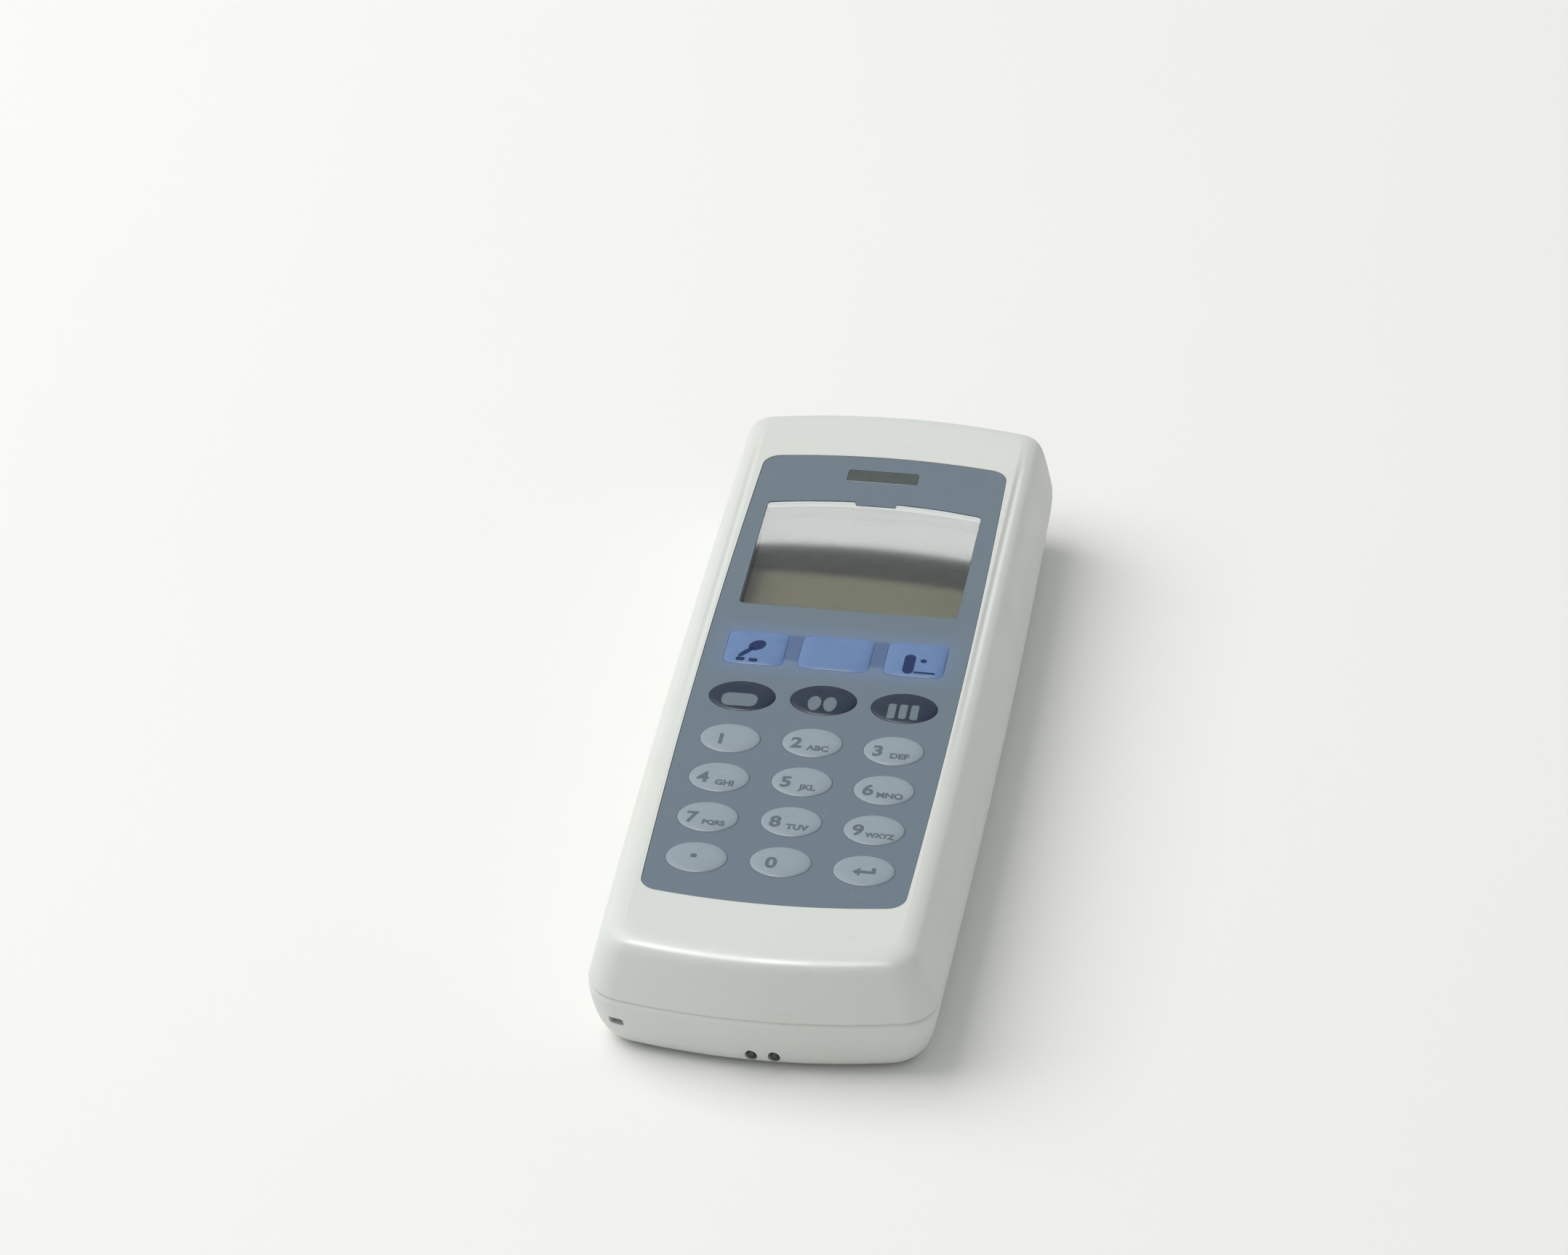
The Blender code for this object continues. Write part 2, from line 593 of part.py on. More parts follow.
# ---- Electronics ----------------------------------------------------------------------
def make_board_assembly(materials):
    """The main board and the parts that hang under it."""
    width, length = BOARD_SIZE
    box("main_board", (-width / 2, -length / 2, BOARD_BOTTOM), (width / 2, length / 2, BOARD_TOP),
        materials["board"])
    rod("buzzer", 6 * MM, UNDER_BOARD - 3.2 * MM, UNDER_BOARD, -14 * MM, 50 * MM, materials["black"])
    rod("backup_cell", 6.2 * MM, UNDER_BOARD - 2.2 * MM, UNDER_BOARD, 14 * MM, 48 * MM,
        materials["steel"])
    box("processor_chip", (-7 * MM, 20 * MM, UNDER_BOARD - MM), (7 * MM, 34 * MM, UNDER_BOARD),
        materials["black"])


def make_scanner(materials):
    """The scan engine behind its window, its lens and its bracket."""
    engine = box("scan_engine", (-10 * MM, 60.5 * MM, 3.6 * MM), (10 * MM, 74.5 * MM, 12.8 * MM),
                 materials["black"], bevel=0.6 * MM)
    combine(engine, box("aperture_cutter", (-7 * MM, 70.5 * MM, 5.6 * MM), (7 * MM, 76 * MM, 11 * MM)))
    turned("scan_lens", [(0, 3 * MM), (1.4 * MM, 2.7 * MM), (2.2 * MM, 2 * MM), (2.2 * MM, 0), (0, 0)],
           materials["lens"], (0, 70.9 * MM, 8.3 * MM), rotation=(-math.pi / 2, 0, 0), steps=16)
    box("scan_bracket", (-13 * MM, 60.5 * MM, 2.2 * MM), (13 * MM, 74.5 * MM, 3.2 * MM),
        materials["steel"], bevel=0.3 * MM)


# ---- Power ----------------------------------------------------------------------------
def make_charge_contacts(materials):
    """Round-nosed pins in the keypad end."""
    profile = [(0, 6 * MM), (0.5 * MM, 5.85 * MM), (0.75 * MM, 5.3 * MM), (0.75 * MM, 0.9 * MM),
               (1.2 * MM, 0.9 * MM), (1.2 * MM, 0), (0, 0)]
    for word, x in zip(("left", "right"), contact_places()):
        turned(f"charge_contact_{word}", profile, materials["nickel"],
               (x, -73.2 * MM, CONTACT_HEIGHT), rotation=(math.pi / 2, 0, 0), steps=12)


def make_cells(materials):
    """Two cells side by side, head to tail, each between a contact plate and a spring."""
    half = CELL_LENGTH / 2
    profile = [(0, half), (1.9 * MM, half), (1.9 * MM, half - 1.2 * MM), (4.4 * MM, half - 1.2 * MM),
               (CELL_RADIUS, half - 1.7 * MM), (CELL_RADIUS, 0.4 * MM - half),
               (CELL_RADIUS - 0.4 * MM, -half), (0, -half)]
    bay_half = BAY_LENGTH / 2
    plate_depth = 0.5 * MM
    cell_shift = bay_half - GAP - plate_depth - GAP - half
    for word, side in (("left", -1), ("right", 1)):
        toward = -side
        x = side * CELL_X
        turned(f"cell_{word}", profile, materials["cell"],
               (x, BAY_CENTRE_Y + toward * cell_shift, CELL_HEIGHT),
               rotation=(-toward * math.pi / 2, 0, 0), steps=20)
        plate_near = BAY_CENTRE_Y + toward * (bay_half - GAP - plate_depth)
        plate_far = BAY_CENTRE_Y + toward * (bay_half - GAP)
        box(f"contact_plate_{word}", (x - 4 * MM, min(plate_near, plate_far), 3 * MM),
            (x + 4 * MM, max(plate_near, plate_far), 12 * MM), materials["steel"])
        make_spring(f"cell_spring_{word}", materials["steel"], x, toward, cell_shift - half)


def make_spring(name, material, x, toward, cell_tail):
    """A tapering coil between the bay's end wall and the flat end of a cell."""
    turns, points_a_turn, wire = 3.5, 8, 0.3 * MM
    wall = -BAY_LENGTH / 2 + GAP + wire
    tip = cell_tail - GAP - wire
    count = int(turns * points_a_turn) + 1
    curve = bpy.data.curves.new(name, "CURVE")
    curve.dimensions = "3D"
    curve.bevel_depth = wire
    curve.bevel_resolution = 0
    curve.use_fill_caps = True
    curve.materials.append(material)
    spline = curve.splines.new("POLY")
    spline.points.add(count - 1)
    for index, point in enumerate(spline.points):
        share = index / (count - 1)
        angle = 2 * math.pi * turns * share
        radius = (3.8 - 1.4 * share) * MM
        y = toward * (wall + share * (tip - wall))
        point.co = (radius * math.cos(angle), y, radius * math.sin(angle), 1)
    item = bpy.data.objects.new(name, curve)
    item.location = (x, BAY_CENTRE_Y, CELL_HEIGHT)
    PRODUCT.objects.link(item)


def main():
    clear_scene()
    materials = make_materials()
    keys = key_table()
    scan_opening = scan_cutter()
    make_upper_shell(materials, keys, scan_opening)
    make_lower_shell(materials, scan_opening)
    make_battery_cover(materials)
    make_case_screws(materials)
    make_scan_window(materials)
    make_keypad_overlay(materials, keys)
    make_display(materials)
    make_indicator(materials)
    for key in keys:
        make_key(materials, key)
    make_key_mat(materials, keys)
    make_function_lamps(materials, keys)
    make_board_assembly(materials)
    make_scanner(materials)
    make_charge_contacts(materials)
    make_cells(materials)


main()
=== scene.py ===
"""Looks for the handheld keypad terminal: fine shells, panel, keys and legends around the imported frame.

Everything is in metres in the frame's own axes: +X right, +Y towards the head, +Z up out of the keys.
"""
import json
import math

import bmesh
import bpy
from mathutils import Matrix, Vector


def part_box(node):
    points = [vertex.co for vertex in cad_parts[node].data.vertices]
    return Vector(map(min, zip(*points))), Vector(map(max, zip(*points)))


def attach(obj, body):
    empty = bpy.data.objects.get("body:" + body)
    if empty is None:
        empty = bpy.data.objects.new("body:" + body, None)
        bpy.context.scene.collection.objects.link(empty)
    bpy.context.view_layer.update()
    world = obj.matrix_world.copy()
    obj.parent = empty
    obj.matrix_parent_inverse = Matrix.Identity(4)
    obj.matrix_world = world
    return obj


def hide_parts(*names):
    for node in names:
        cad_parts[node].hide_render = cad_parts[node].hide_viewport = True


MM = 0.001

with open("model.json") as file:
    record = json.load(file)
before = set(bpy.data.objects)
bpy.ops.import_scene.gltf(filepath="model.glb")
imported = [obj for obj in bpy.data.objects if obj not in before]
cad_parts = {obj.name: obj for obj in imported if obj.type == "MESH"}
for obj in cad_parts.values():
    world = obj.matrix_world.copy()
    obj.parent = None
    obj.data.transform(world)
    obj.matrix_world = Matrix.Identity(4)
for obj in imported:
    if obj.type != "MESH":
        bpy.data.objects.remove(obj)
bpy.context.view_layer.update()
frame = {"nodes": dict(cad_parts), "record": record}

# ---- Sizes read from the frame ----
UPPER_LOW, UPPER_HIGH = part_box("upper_shell")
PANEL_LOW, PANEL_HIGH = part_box("keypad_overlay")
LENS_LOW, LENS_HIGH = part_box("display_lens")
PIPE_LOW, PIPE_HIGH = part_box("indicator_lens")
COVER_LOW, COVER_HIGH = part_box("battery_cover")

BODY_TOP = UPPER_HIGH.z
BODY_WIDTH = UPPER_HIGH.x - UPPER_LOW.x
BODY_LENGTH = -2 * UPPER_LOW.y
PANEL_TOP = PANEL_HIGH.z
PANEL_WIDTH = PANEL_HIGH.x - PANEL_LOW.x
PANEL_LENGTH = PANEL_HIGH.y - PANEL_LOW.y
PANEL_CENTRE_Y = (PANEL_HIGH.y + PANEL_LOW.y) / 2
WINDOW_RIM = 0.4 * MM               # how far the panel covers the lens
WINDOW_WIDTH = LENS_HIGH.x - LENS_LOW.x - 2 * WINDOW_RIM
WINDOW_LENGTH = LENS_HIGH.y - LENS_LOW.y - 2 * WINDOW_RIM
WINDOW_CENTRE_Y = (LENS_HIGH.y + LENS_LOW.y) / 2
INDICATOR_Y = (PIPE_HIGH.y + PIPE_LOW.y) / 2
COVER_WIDTH = COVER_HIGH.x - COVER_LOW.x
COVER_LENGTH = COVER_HIGH.y - COVER_LOW.y
COVER_CENTRE_Y = (COVER_LOW.y + COVER_HIGH.y) / 2

# ---- Form of the body, shared with the CAD ----
WALL = 1.8 * MM
GAP = 0.3 * MM
END_ANGLE = math.radians(12)
HEAD_CORNER = 4.0 * MM
TAIL_CORNER = 6.5 * MM
HEAD_SIDE_BOW = 1.0 * MM
TAIL_SIDE_BOW = 0.7 * MM
PARTING = 11.5 * MM
LIP_HEIGHT = 1.3 * MM
# Height from the parting line and inset, for the soft groove where the two halves meet.
SEAM_GROOVE = ((0.01 * MM, 0.24 * MM), (0.20 * MM, 0.13 * MM), (0.50 * MM, 0.0))
# Outer profiles beyond the groove: height, inset of the sides, inset of the ends.
UPPER_PROFILE = (
    (12.7 * MM, 0.05 * MM, 0.05 * MM),
    (16.8 * MM, 1.15 * MM, 0.60 * MM),
    (19.9 * MM, 2.20 * MM, 1.10 * MM),
    (21.1 * MM, 2.85 * MM, 1.40 * MM),
    (22.1 * MM, 3.60 * MM, 2.00 * MM),
    (22.75 * MM, 4.85 * MM, 3.00 * MM),
    (BODY_TOP, 6.00 * MM, 4.60 * MM),
    (BODY_TOP, 6.40 * MM, 5.00 * MM),
)
LOWER_PROFILE = (
    (10.3 * MM, 0.0, 0.0),
    (7.5 * MM, 0.40 * MM, 0.50 * MM),
    (4.6 * MM, 1.10 * MM, 1.40 * MM),
    (2.2 * MM, 2.10 * MM, 2.60 * MM),
    (0.7 * MM, 3.40 * MM, 4.10 * MM),
    (0.0, 5.00 * MM, 5.80 * MM),
)
# Share of an inset that comes off a corner's radius or off the head's side bow.
HEAD_CORNER_LOSS = 0.2
TAIL_CORNER_LOSS = 0.35
HEAD_BOW_LOSS = 0.3
LEAST_SIDE_BOW = 0.1 * MM
INNER_LEVELS = 4                    # levels of a profile that the inner skin follows
INNER_FACE_WALLS = 1.6              # further inset of the inner face, in walls
LIP_GAP = 0.25 * MM
LIP_THICKNESS = 0.8 * MM
SHOULDER_LEVEL = 21 * MM            # the shoulders' groove is pressed in above it
SHOULDER_GROOVE_X = 23.35 * MM      # a shallow valley beside the panel's head half
SHOULDER_GROOVE_REACH = 0.45 * MM
SHOULDER_GROOVE_DEPTH = 0.30 * MM
SHOULDER_FADE_TAIL = (-35 * MM, 25 * MM)
SHOULDER_FADE_HEAD = (60 * MM, 70 * MM)

# ---- Screws, battery bay and openings ----
SCREW_HOLE_RADIUS = 1.4 * MM
UPPER_HOLE = (9 * MM, 18.5 * MM)    # lowest and highest level
LOWER_HOLE = (-MM, 13 * MM)
UPPER_BOSS_RADIUS = 2.6 * MM
LOWER_BOSS_RADIUS = 3.2 * MM
BOSS_GAP = 0.15 * MM                # lower bosses below the parting line
HEAD_RECESS_RADIUS = 2.6 * MM
HEAD_RECESS_DEPTH = 2.3 * MM
SCREW_PROFILE = ((0.35, 1.4), (0.55, 1.95), (0.9, 2.2), (1.7, 2.2), (2.0, 2.05), (2.0, 1.1),
                 (15.6, 1.1), (16.0, 0.7))   # height and radius in mm, from head to point
CROSS_REACH = 1.25 * MM
CROSS_HALF_WIDTH = 0.22 * MM
CROSS_TOP = 1.1 * MM
BAY_LOW = Vector((-12.4, -64.0, 0)) * MM
BAY_HIGH = Vector((12.4, -10.0, 0)) * MM
BAY_WALL = 1.4 * MM
BAY_ROOF = 13.2 * MM
BAY_CUT_TOP = 15 * MM
COVER_RECESS_CORNER = 2.3 * MM
COVER_RECESS_DEPTH = 1.5 * MM
COVER_CORNER = 2 * MM
COVER_THICKNESS = 1.2 * MM
COVER_TAB_LOW = (-1.6 * MM, -63.6 * MM, 0.6 * MM)
COVER_TAB_HIGH = (1.6 * MM, -62.6 * MM, 5 * MM)
GRIP_GROOVES = 4
GRIP_GROOVE_WIDTH = 14 * MM
GRIP_GROOVE_LENGTH = 0.9 * MM
GRIP_GROOVE_CORNER = 0.44 * MM
GRIP_GROOVE_DEPTH = 0.5 * MM
GRIP_START = 19 * MM                # first groove, measured from the cover's middle
GRIP_PITCH = 2 * MM
CONTACT_HOLE_WIDTH = 2.0 * MM
CONTACT_HOLE_HEIGHT = 3.0 * MM
CONTACT_HOLE_ENDS = (-88 * MM, -76 * MM)
STRAP_SLOT_CORNER = Vector((3.5 * MM, 1.25 * MM, 0.75 * MM))   # from the slot's middle
STRAP_SLOT_ROUND = 0.4 * MM
STRAP_SLOT_PLACE = (-23.0 * MM, -78.5 * MM, 6.9 * MM)
STRAP_SLOT_TURN = math.radians(66)
SCAN_OPENING_ENDS = (70 * MM, 90 * MM)
SCAN_OPENING_ROUND = 1.2 * MM
SCAN_WINDOW_EDGE = 0.15 * MM

# ---- Panel, display window and indicator ----
PANEL_CORNER = 3.2 * MM
PANEL_SIDE_BOW = 0.8 * MM
PANEL_END_ANGLE = math.radians(9)
PANEL_SEAM = 0.07 * MM              # visible gap around the panel
PANEL_RECESS = 0.9 * MM             # depth of the shell's recess under the panel
PANEL_EDGE = 0.06 * MM              # radius of the panel's upper edge
PANEL_EDGE_STEPS = 3
WINDOW_CORNER = 0.8 * MM
WINDOW_HEAD_ANGLE = math.radians(12)
WINDOW_TAIL_ANGLE = math.radians(1)
WINDOW_SEAT = 0.7 * MM              # the shell's opening, beyond the panel's
WINDOW_DROP = 0.10 * MM             # the display window's face below the panel's
INDICATOR_WIDTH = 12.4 * MM
INDICATOR_LENGTH = 3.6 * MM
INDICATOR_CORNER = 0.6 * MM
INDICATOR_FLANGE = 0.9 * MM
INSERT_SLACK = 0.04 * MM            # around the window's and the indicator's raised faces
OPENING_ENDS = (20 * MM, 25 * MM)   # heights between which openings are cut in the top
TAB_WIDTH = 7.2 * MM                # the small tab over the display's head edge
TAB_LENGTH = 1.8 * MM
TAB_CORNER = 0.5 * MM
TAB_REACH = 0.2 * MM                # its middle, inside the window's edge
TAB_DROP = 0.01 * MM                # its face, below the panel's

# ---- Keys and legends ----
KEY_SLOTS = {"function": "blue_key", "menu": "dark_key", "key": "light_key"}
KEY_CORNER = 1.2 * MM
KEY_SEAM = 0.16 * MM                # openings around the keys, beyond the keys' nominal size
KEY_SWELL = 0.10 * MM               # the caps, beyond their nominal size
OVAL_FLANGE = 0.8 * MM
FLANGE_HEIGHT = 1.0 * MM
FLANGE_EDGE = 0.1 * MM
STEM_FOOT = 1.4 * MM
CROWN_EDGE = 0.02 * MM              # the crown's edge above the panel
CROWN_POWERS = {"oval": 2, "block": 6}       # how square the crown's level lines are
CROWN_SHARES = (1.0, 0.985, 0.955, 0.91, 0.85, 0.77, 0.67, 0.54, 0.38, 0.2, 0.05)
LEGEND_RISE = 0.015 * MM
LEGEND_DEPTH = 0.12 * MM
LEGEND_MESH = 0.5 * MM              # longest edge of a legend before it is draped
LEGEND_PASSES = 4                   # rounds of halving longer edges
WELD_DISTANCE = 0.0001 * MM
LETTERS = {2: "ABC", 3: "DEF", 4: "GHI", 5: "JKL", 6: "MNO", 7: "PQRS", 8: "TUV", 9: "WXYZ"}
DIGIT_SIZE = 3.8 * MM
LETTER_SIZES = {3: 1.85 * MM, 4: 1.55 * MM}  # by the number of letters on a key
DIGIT_WEIGHT = 0.13 * MM
LETTER_WEIGHT = 0.08 * MM
LONE_DIGIT_PLACE = (-1.4 * MM, -1.0 * MM)
DIGIT_PLACE = (-2.5 * MM, -0.9 * MM)
LETTERS_PLACE = (1.2 * MM, -2.0 * MM)

# ---- Fineness of the meshes ----
OUTLINE_STEPS = (20, 10, 12)        # steps along a quarter's side, corner and end
PROFILE_STEPS = 6
OVAL_POINTS = 48
ROUND_POINTS = 32
SMOOTH_ANGLE = math.radians(32)     # faces that meet at less than this are shaded as one

# ---- Camera: the photograph's view ----
CAMERA_AZIMUTH = math.radians(9.66)
CAMERA_ELEVATION = math.radians(34.53)
CAMERA_ROLL = math.radians(-1.09)
CAMERA_DISTANCE = 1104 * MM
CAMERA_LENS = 150.3                 # mm
CAMERA_SENSOR = 36                  # mm
CAMERA_AIM = Vector((-9.88 * MM, 11.35 * MM, 22.9 * MM))

# ---- Bright card mirrored in the display window ----
CARD_Y = 560 * MM
CARD_LEFT = -200 * MM
CARD_RIGHT = 40 * MM
CARD_MIDDLE = -84 * MM
CARD_BOTTOM = 359 * MM
CARD_TOP = 377.5 * MM
CARD_TOP_CURVE = 1.8                # height gained per metre squared away from the middle
CARD_COLUMNS = 24
CARD_STRENGTH = 6.7

# ---- Lights and floor, in metres and watts ----
WINDOW_LIGHT_PLACE = (-1.05, 0.10, 1.46)
WINDOW_LIGHT_SIZE = (1.7, 1.7)
WINDOW_LIGHT_POWER = 28.8
GLINT_LIGHT_PLACE = (-0.38, -0.95, 1.5)
GLINT_LIGHT_SIZE = (1.1, 0.25)
GLINT_LIGHT_POWER = 64
ROOM_STRENGTH = 0.495
FLOOR_REACH = 3.0


# ---- Outlines and lofts ----
def quarter_outline(width, length, corner, side_bow=0.0, end_angle=0.0, steps=OUTLINE_STEPS):
    """A quarter of a plan outline: a bowed side, a round corner and a bowed end."""
    side_steps, corner_steps, end_steps = steps
    half_width, half_length = width / 2, length / 2
    side_angle = math.atan(2 * side_bow / half_length)
    centre_x = half_width - side_bow - corner * math.cos(side_angle)
    end_x = centre_x + corner * math.sin(end_angle)
    end_bow = end_x * math.tan(end_angle) / 2
    centre_y = half_length - end_bow - corner * math.cos(end_angle)
    side_y = centre_y + corner * math.sin(side_angle)
    quarter = []
    for step in range(side_steps):
        share = step / side_steps
        quarter.append((half_width - side_bow * share ** 2, side_y * share))
    for step in range(corner_steps + 1):
        angle = side_angle + step / corner_steps * (math.pi / 2 - end_angle - side_angle)
        quarter.append((centre_x + corner * math.cos(angle), centre_y + corner * math.sin(angle)))
    for step in range(1, end_steps + 1):
        share = 1 - step / end_steps
        quarter.append((end_x * share, half_length - end_bow * share ** 2))
    return quarter


def closed_outline(head, tail):
    """Mirror the quarters of the two ends into one counter-clockwise outline."""
    head_half = head + [(-x, y) for x, y in reversed(head[:-1])]
    tail_half = tail + [(-x, y) for x, y in reversed(tail[:-1])]
    return head_half + [(x, -y) for x, y in reversed(tail_half[1:-1])]


def outline(*form, **bend):
    """Counter-clockwise plan outline, the same at both ends."""
    quarter = quarter_outline(*form, **bend)
    return closed_outline(quarter, quarter)


def oval(width, length, count=OVAL_POINTS):
    turns = [2 * math.pi * step / count for step in range(count)]
    return [(width / 2 * math.cos(turn), length / 2 * math.sin(turn)) for turn in turns]


def lift(points, height, x=0.0, y=0.0):
    return [Vector((px + x, py + y, height)) for px, py in points]


def add_loft(bm, rings):
    """Skin a run of matching rings and cap both ends."""
    loops = [[bm.verts.new(point) for point in ring] for ring in rings]
    count = len(loops[0])
    for lower, upper in zip(loops, loops[1:]):
        for index in range(count):
            after = (index + 1) % count
            bm.faces.new((lower[index], lower[after], upper[after], upper[index]))
    bm.faces.new(reversed(loops[0]))
    bm.faces.new(loops[-1])


def shade_by_angle(mesh):
    """Shade smooth, with a sharp edge wherever two faces meet at more than a small angle."""
    bm = bmesh.new()
    bm.from_mesh(mesh)
    for face in bm.faces:
        face.smooth = True
    for edge in bm.edges:
        edge.smooth = edge.calc_face_angle(0.0) < SMOOTH_ANGLE
    bm.to_mesh(mesh)
    bm.free()


def add_object(name, data):
    """A new object in the scene."""
    item = bpy.data.objects.new(name, data)
    bpy.context.scene.collection.objects.link(item)
    return item


def finish_mesh(name, bm, material):
    """Close a bmesh into an object in the scene."""
    bmesh.ops.recalc_face_normals(bm, faces=bm.faces)
    mesh = bpy.data.meshes.new(name)
    bm.to_mesh(mesh)
    bm.free()
    if material:
        mesh.materials.append(material)
    shade_by_angle(mesh)
    return add_object(name, mesh)


def loft(name, rings, material):
    bm = bmesh.new()
    add_loft(bm, rings)
    return finish_mesh(name, bm, material)


def prisms(plans):
    """A cutter of upright prisms, one for each (outline, x, y, low, high)."""
    bm = bmesh.new()
    for points, x, y, low, high in plans:
        add_loft(bm, [lift(points, low, x, y), lift(points, high, x, y)])
    return finish_mesh("cutter", bm, None)


def block(low, high, bevel=0.0):
    """A cutter block between two corners, with its edges rounded."""
    low, high = Vector(low), Vector(high)
    bm = bmesh.new()
    bmesh.ops.create_cube(bm, size=1.0)
    bmesh.ops.scale(bm, vec=high - low, verts=bm.verts)
    bmesh.ops.translate(bm, vec=(low + high) / 2, verts=bm.verts)
    if bevel:
        bmesh.ops.bevel(bm, geom=bm.edges[:], offset=bevel, segments=4, affect="EDGES", profile=0.5)
    return finish_mesh("cutter", bm, None)


def cut(piece, *cutters, operation="DIFFERENCE"):
    """Cut the cutters from a piece, or join them to it, and remove them."""
    piece.modifiers.clear()
    for cutter in cutters:
        modifier = piece.modifiers.new("cut", "BOOLEAN")
        modifier.operation = operation
        modifier.solver = "EXACT"
        modifier.object = cutter
        evaluated = piece.evaluated_get(bpy.context.evaluated_depsgraph_get())
        mesh = bpy.data.meshes.new_from_object(evaluated)
        piece.modifiers.clear()
        piece.data = mesh
        bpy.data.objects.remove(cutter)
    shade_by_angle(piece.data)
    weigh_normals(piece)


def weigh_normals(piece):
    """Let large flat faces keep their own normals beside rounded edges."""
    modifier = piece.modifiers.new("weighted_normals", "WEIGHTED_NORMAL")
    modifier.keep_sharp = True
    modifier.weight = 90


def replace_node(piece, node, body):
    """Stand a piece in for a CAD node: hide the node and ride its body."""
    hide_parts(node)
    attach(piece, body)


# ---- Materials ----
class Finish:
    """A node material around one Principled shader, with short calls for what repeats."""

    def __init__(self, name, color, roughness, **inputs):
        self.material = bpy.data.materials.new(name)
        self.material.use_nodes = True
        self.tree = self.material.node_tree
        self.shader = self.tree.nodes["Principled BSDF"]
        self.place = self.node("ShaderNodeTexCoord").outputs["Object"]
        self.color = self.rgb(color)
        self.height = None
        self.set("Roughness", roughness)
        for key, value in inputs.items():
            self.set(key.replace("_", " "), value)

    def node(self, kind, **settings):
        made = self.tree.nodes.new(kind)
        for key, value in settings.items():
            setattr(made, key, value)
        return made

    def join(self, source, target):
        self.tree.links.new(source, target)

    def feed(self, value, socket):
        """Join a node's output to a socket, or set the socket to a plain value."""
        if hasattr(value, "is_output"):
            self.join(value, socket)
        else:
            socket.default_value = value

    def set(self, name, value):
        is_color = isinstance(value, tuple) and len(value) == 3
        self.feed((*value, 1.0) if is_color else value, self.shader.inputs[name])

    def rgb(self, color):
        made = self.node("ShaderNodeRGB")
        made.outputs[0].default_value = (*color, 1.0)
        return made.outputs[0]

    def math(self, operation, first, second=0.0):
        made = self.node("ShaderNodeMath", operation=operation)
        for socket, value in zip(made.inputs, (first, second)):
            self.feed(value, socket)
        return made.outputs[0]

    def ramp(self, value, low, high, low_to=0.0, high_to=1.0):
        """Map a value between two limits, smoothly."""
        made = self.node("ShaderNodeMapRange", interpolation_type="SMOOTHSTEP")
        self.join(value, made.inputs["Value"])
        for name, number in (("From Min", low), ("From Max", high), ("To Min", low_to), ("To Max", high_to)):
            made.inputs[name].default_value = number
        return made.outputs["Result"]

    def noise(self, scale, detail, stretch=(1, 1, 1)):
        mapping = self.node("ShaderNodeMapping")
        mapping.inputs["Scale"].default_value = stretch
        self.join(self.place, mapping.inputs["Vector"])
        made = self.node("ShaderNodeTexNoise")
        made.inputs["Scale"].default_value = scale
        made.inputs["Detail"].default_value = detail
        self.join(mapping.outputs["Vector"], made.inputs["Vector"])
        return made.outputs["Fac"]

    def axis(self, name):
        made = self.node("ShaderNodeSeparateXYZ")
        self.join(self.place, made.inputs[0])
        return made.outputs[name]

    def tint(self, share, color):
        """Mix another colour in where share is high."""
        made = self.node("ShaderNodeMix", data_type="RGBA")
        self.join(self.color, made.inputs["A"])
        made.inputs["B"].default_value = (*color, 1.0)
        self.join(share, made.inputs["Factor"])
        self.color = made.outputs["Result"]

    def mottle(self, pattern, low, high, share, color):
        """Mix up to a share of another colour in, where a noise pattern is high."""
        self.tint(self.ramp(pattern, low, high, 0.0, share), color)

    def crevices(self, color, distance, strength):
        """Dust and painted shade gathered in joints and corners."""
        made = self.node("ShaderNodeAmbientOcclusion", samples=8)
        made.inputs["Distance"].default_value = distance
        open_share = self.ramp(made.outputs["AO"], 0.25, 0.95)
        hidden = self.math("SUBTRACT", 1.0, open_share)
        self.tint(self.math("MULTIPLY", hidden, strength), color)

    def bump(self, height, strength, distance):
        made = self.node("ShaderNodeBump")
        made.inputs["Strength"].default_value = strength
        made.inputs["Distance"].default_value = distance
        self.join(height, made.inputs["Height"])
        if self.height is not None:
            self.join(self.height, made.inputs["Normal"])
        self.height = made.outputs["Normal"]

    def vary_roughness(self, value, low, high):
        self.set("Roughness", self.ramp(value, 0.3, 0.7, low, high))

    def done(self):
        self.join(self.color, self.shader.inputs["Base Color"])
        if self.height is not None:
            self.join(self.height, self.shader.inputs["Normal"])
        return self.material


def shell_finish(name, color):
    """Off-white moulded plastic: fine spark texture, faint yellowing, dust and painted shade in the joints.
    """
    finish = Finish(name, color, 0.42, Specular_IOR_Level=0.45)
    warm = (color[0] * 1.0, color[1] * 0.965, color[2] * 0.88)
    finish.mottle(finish.noise(28, 3), 0.42, 0.68, 0.3, warm)
    finish.mottle(finish.noise(420, 4), 0.60, 0.78, 0.10, (0.42, 0.40, 0.35))
    # dust and painted shade darken the seam groove and the joints
    finish.crevices((0.36, 0.34, 0.29), 1.2 * MM, 0.45)
    grain = finish.noise(5200, 2)
    finish.bump(grain, 0.16, 0.03 * MM)
    finish.vary_roughness(finish.noise(90, 3), 0.36, 0.50)
    return finish.done()


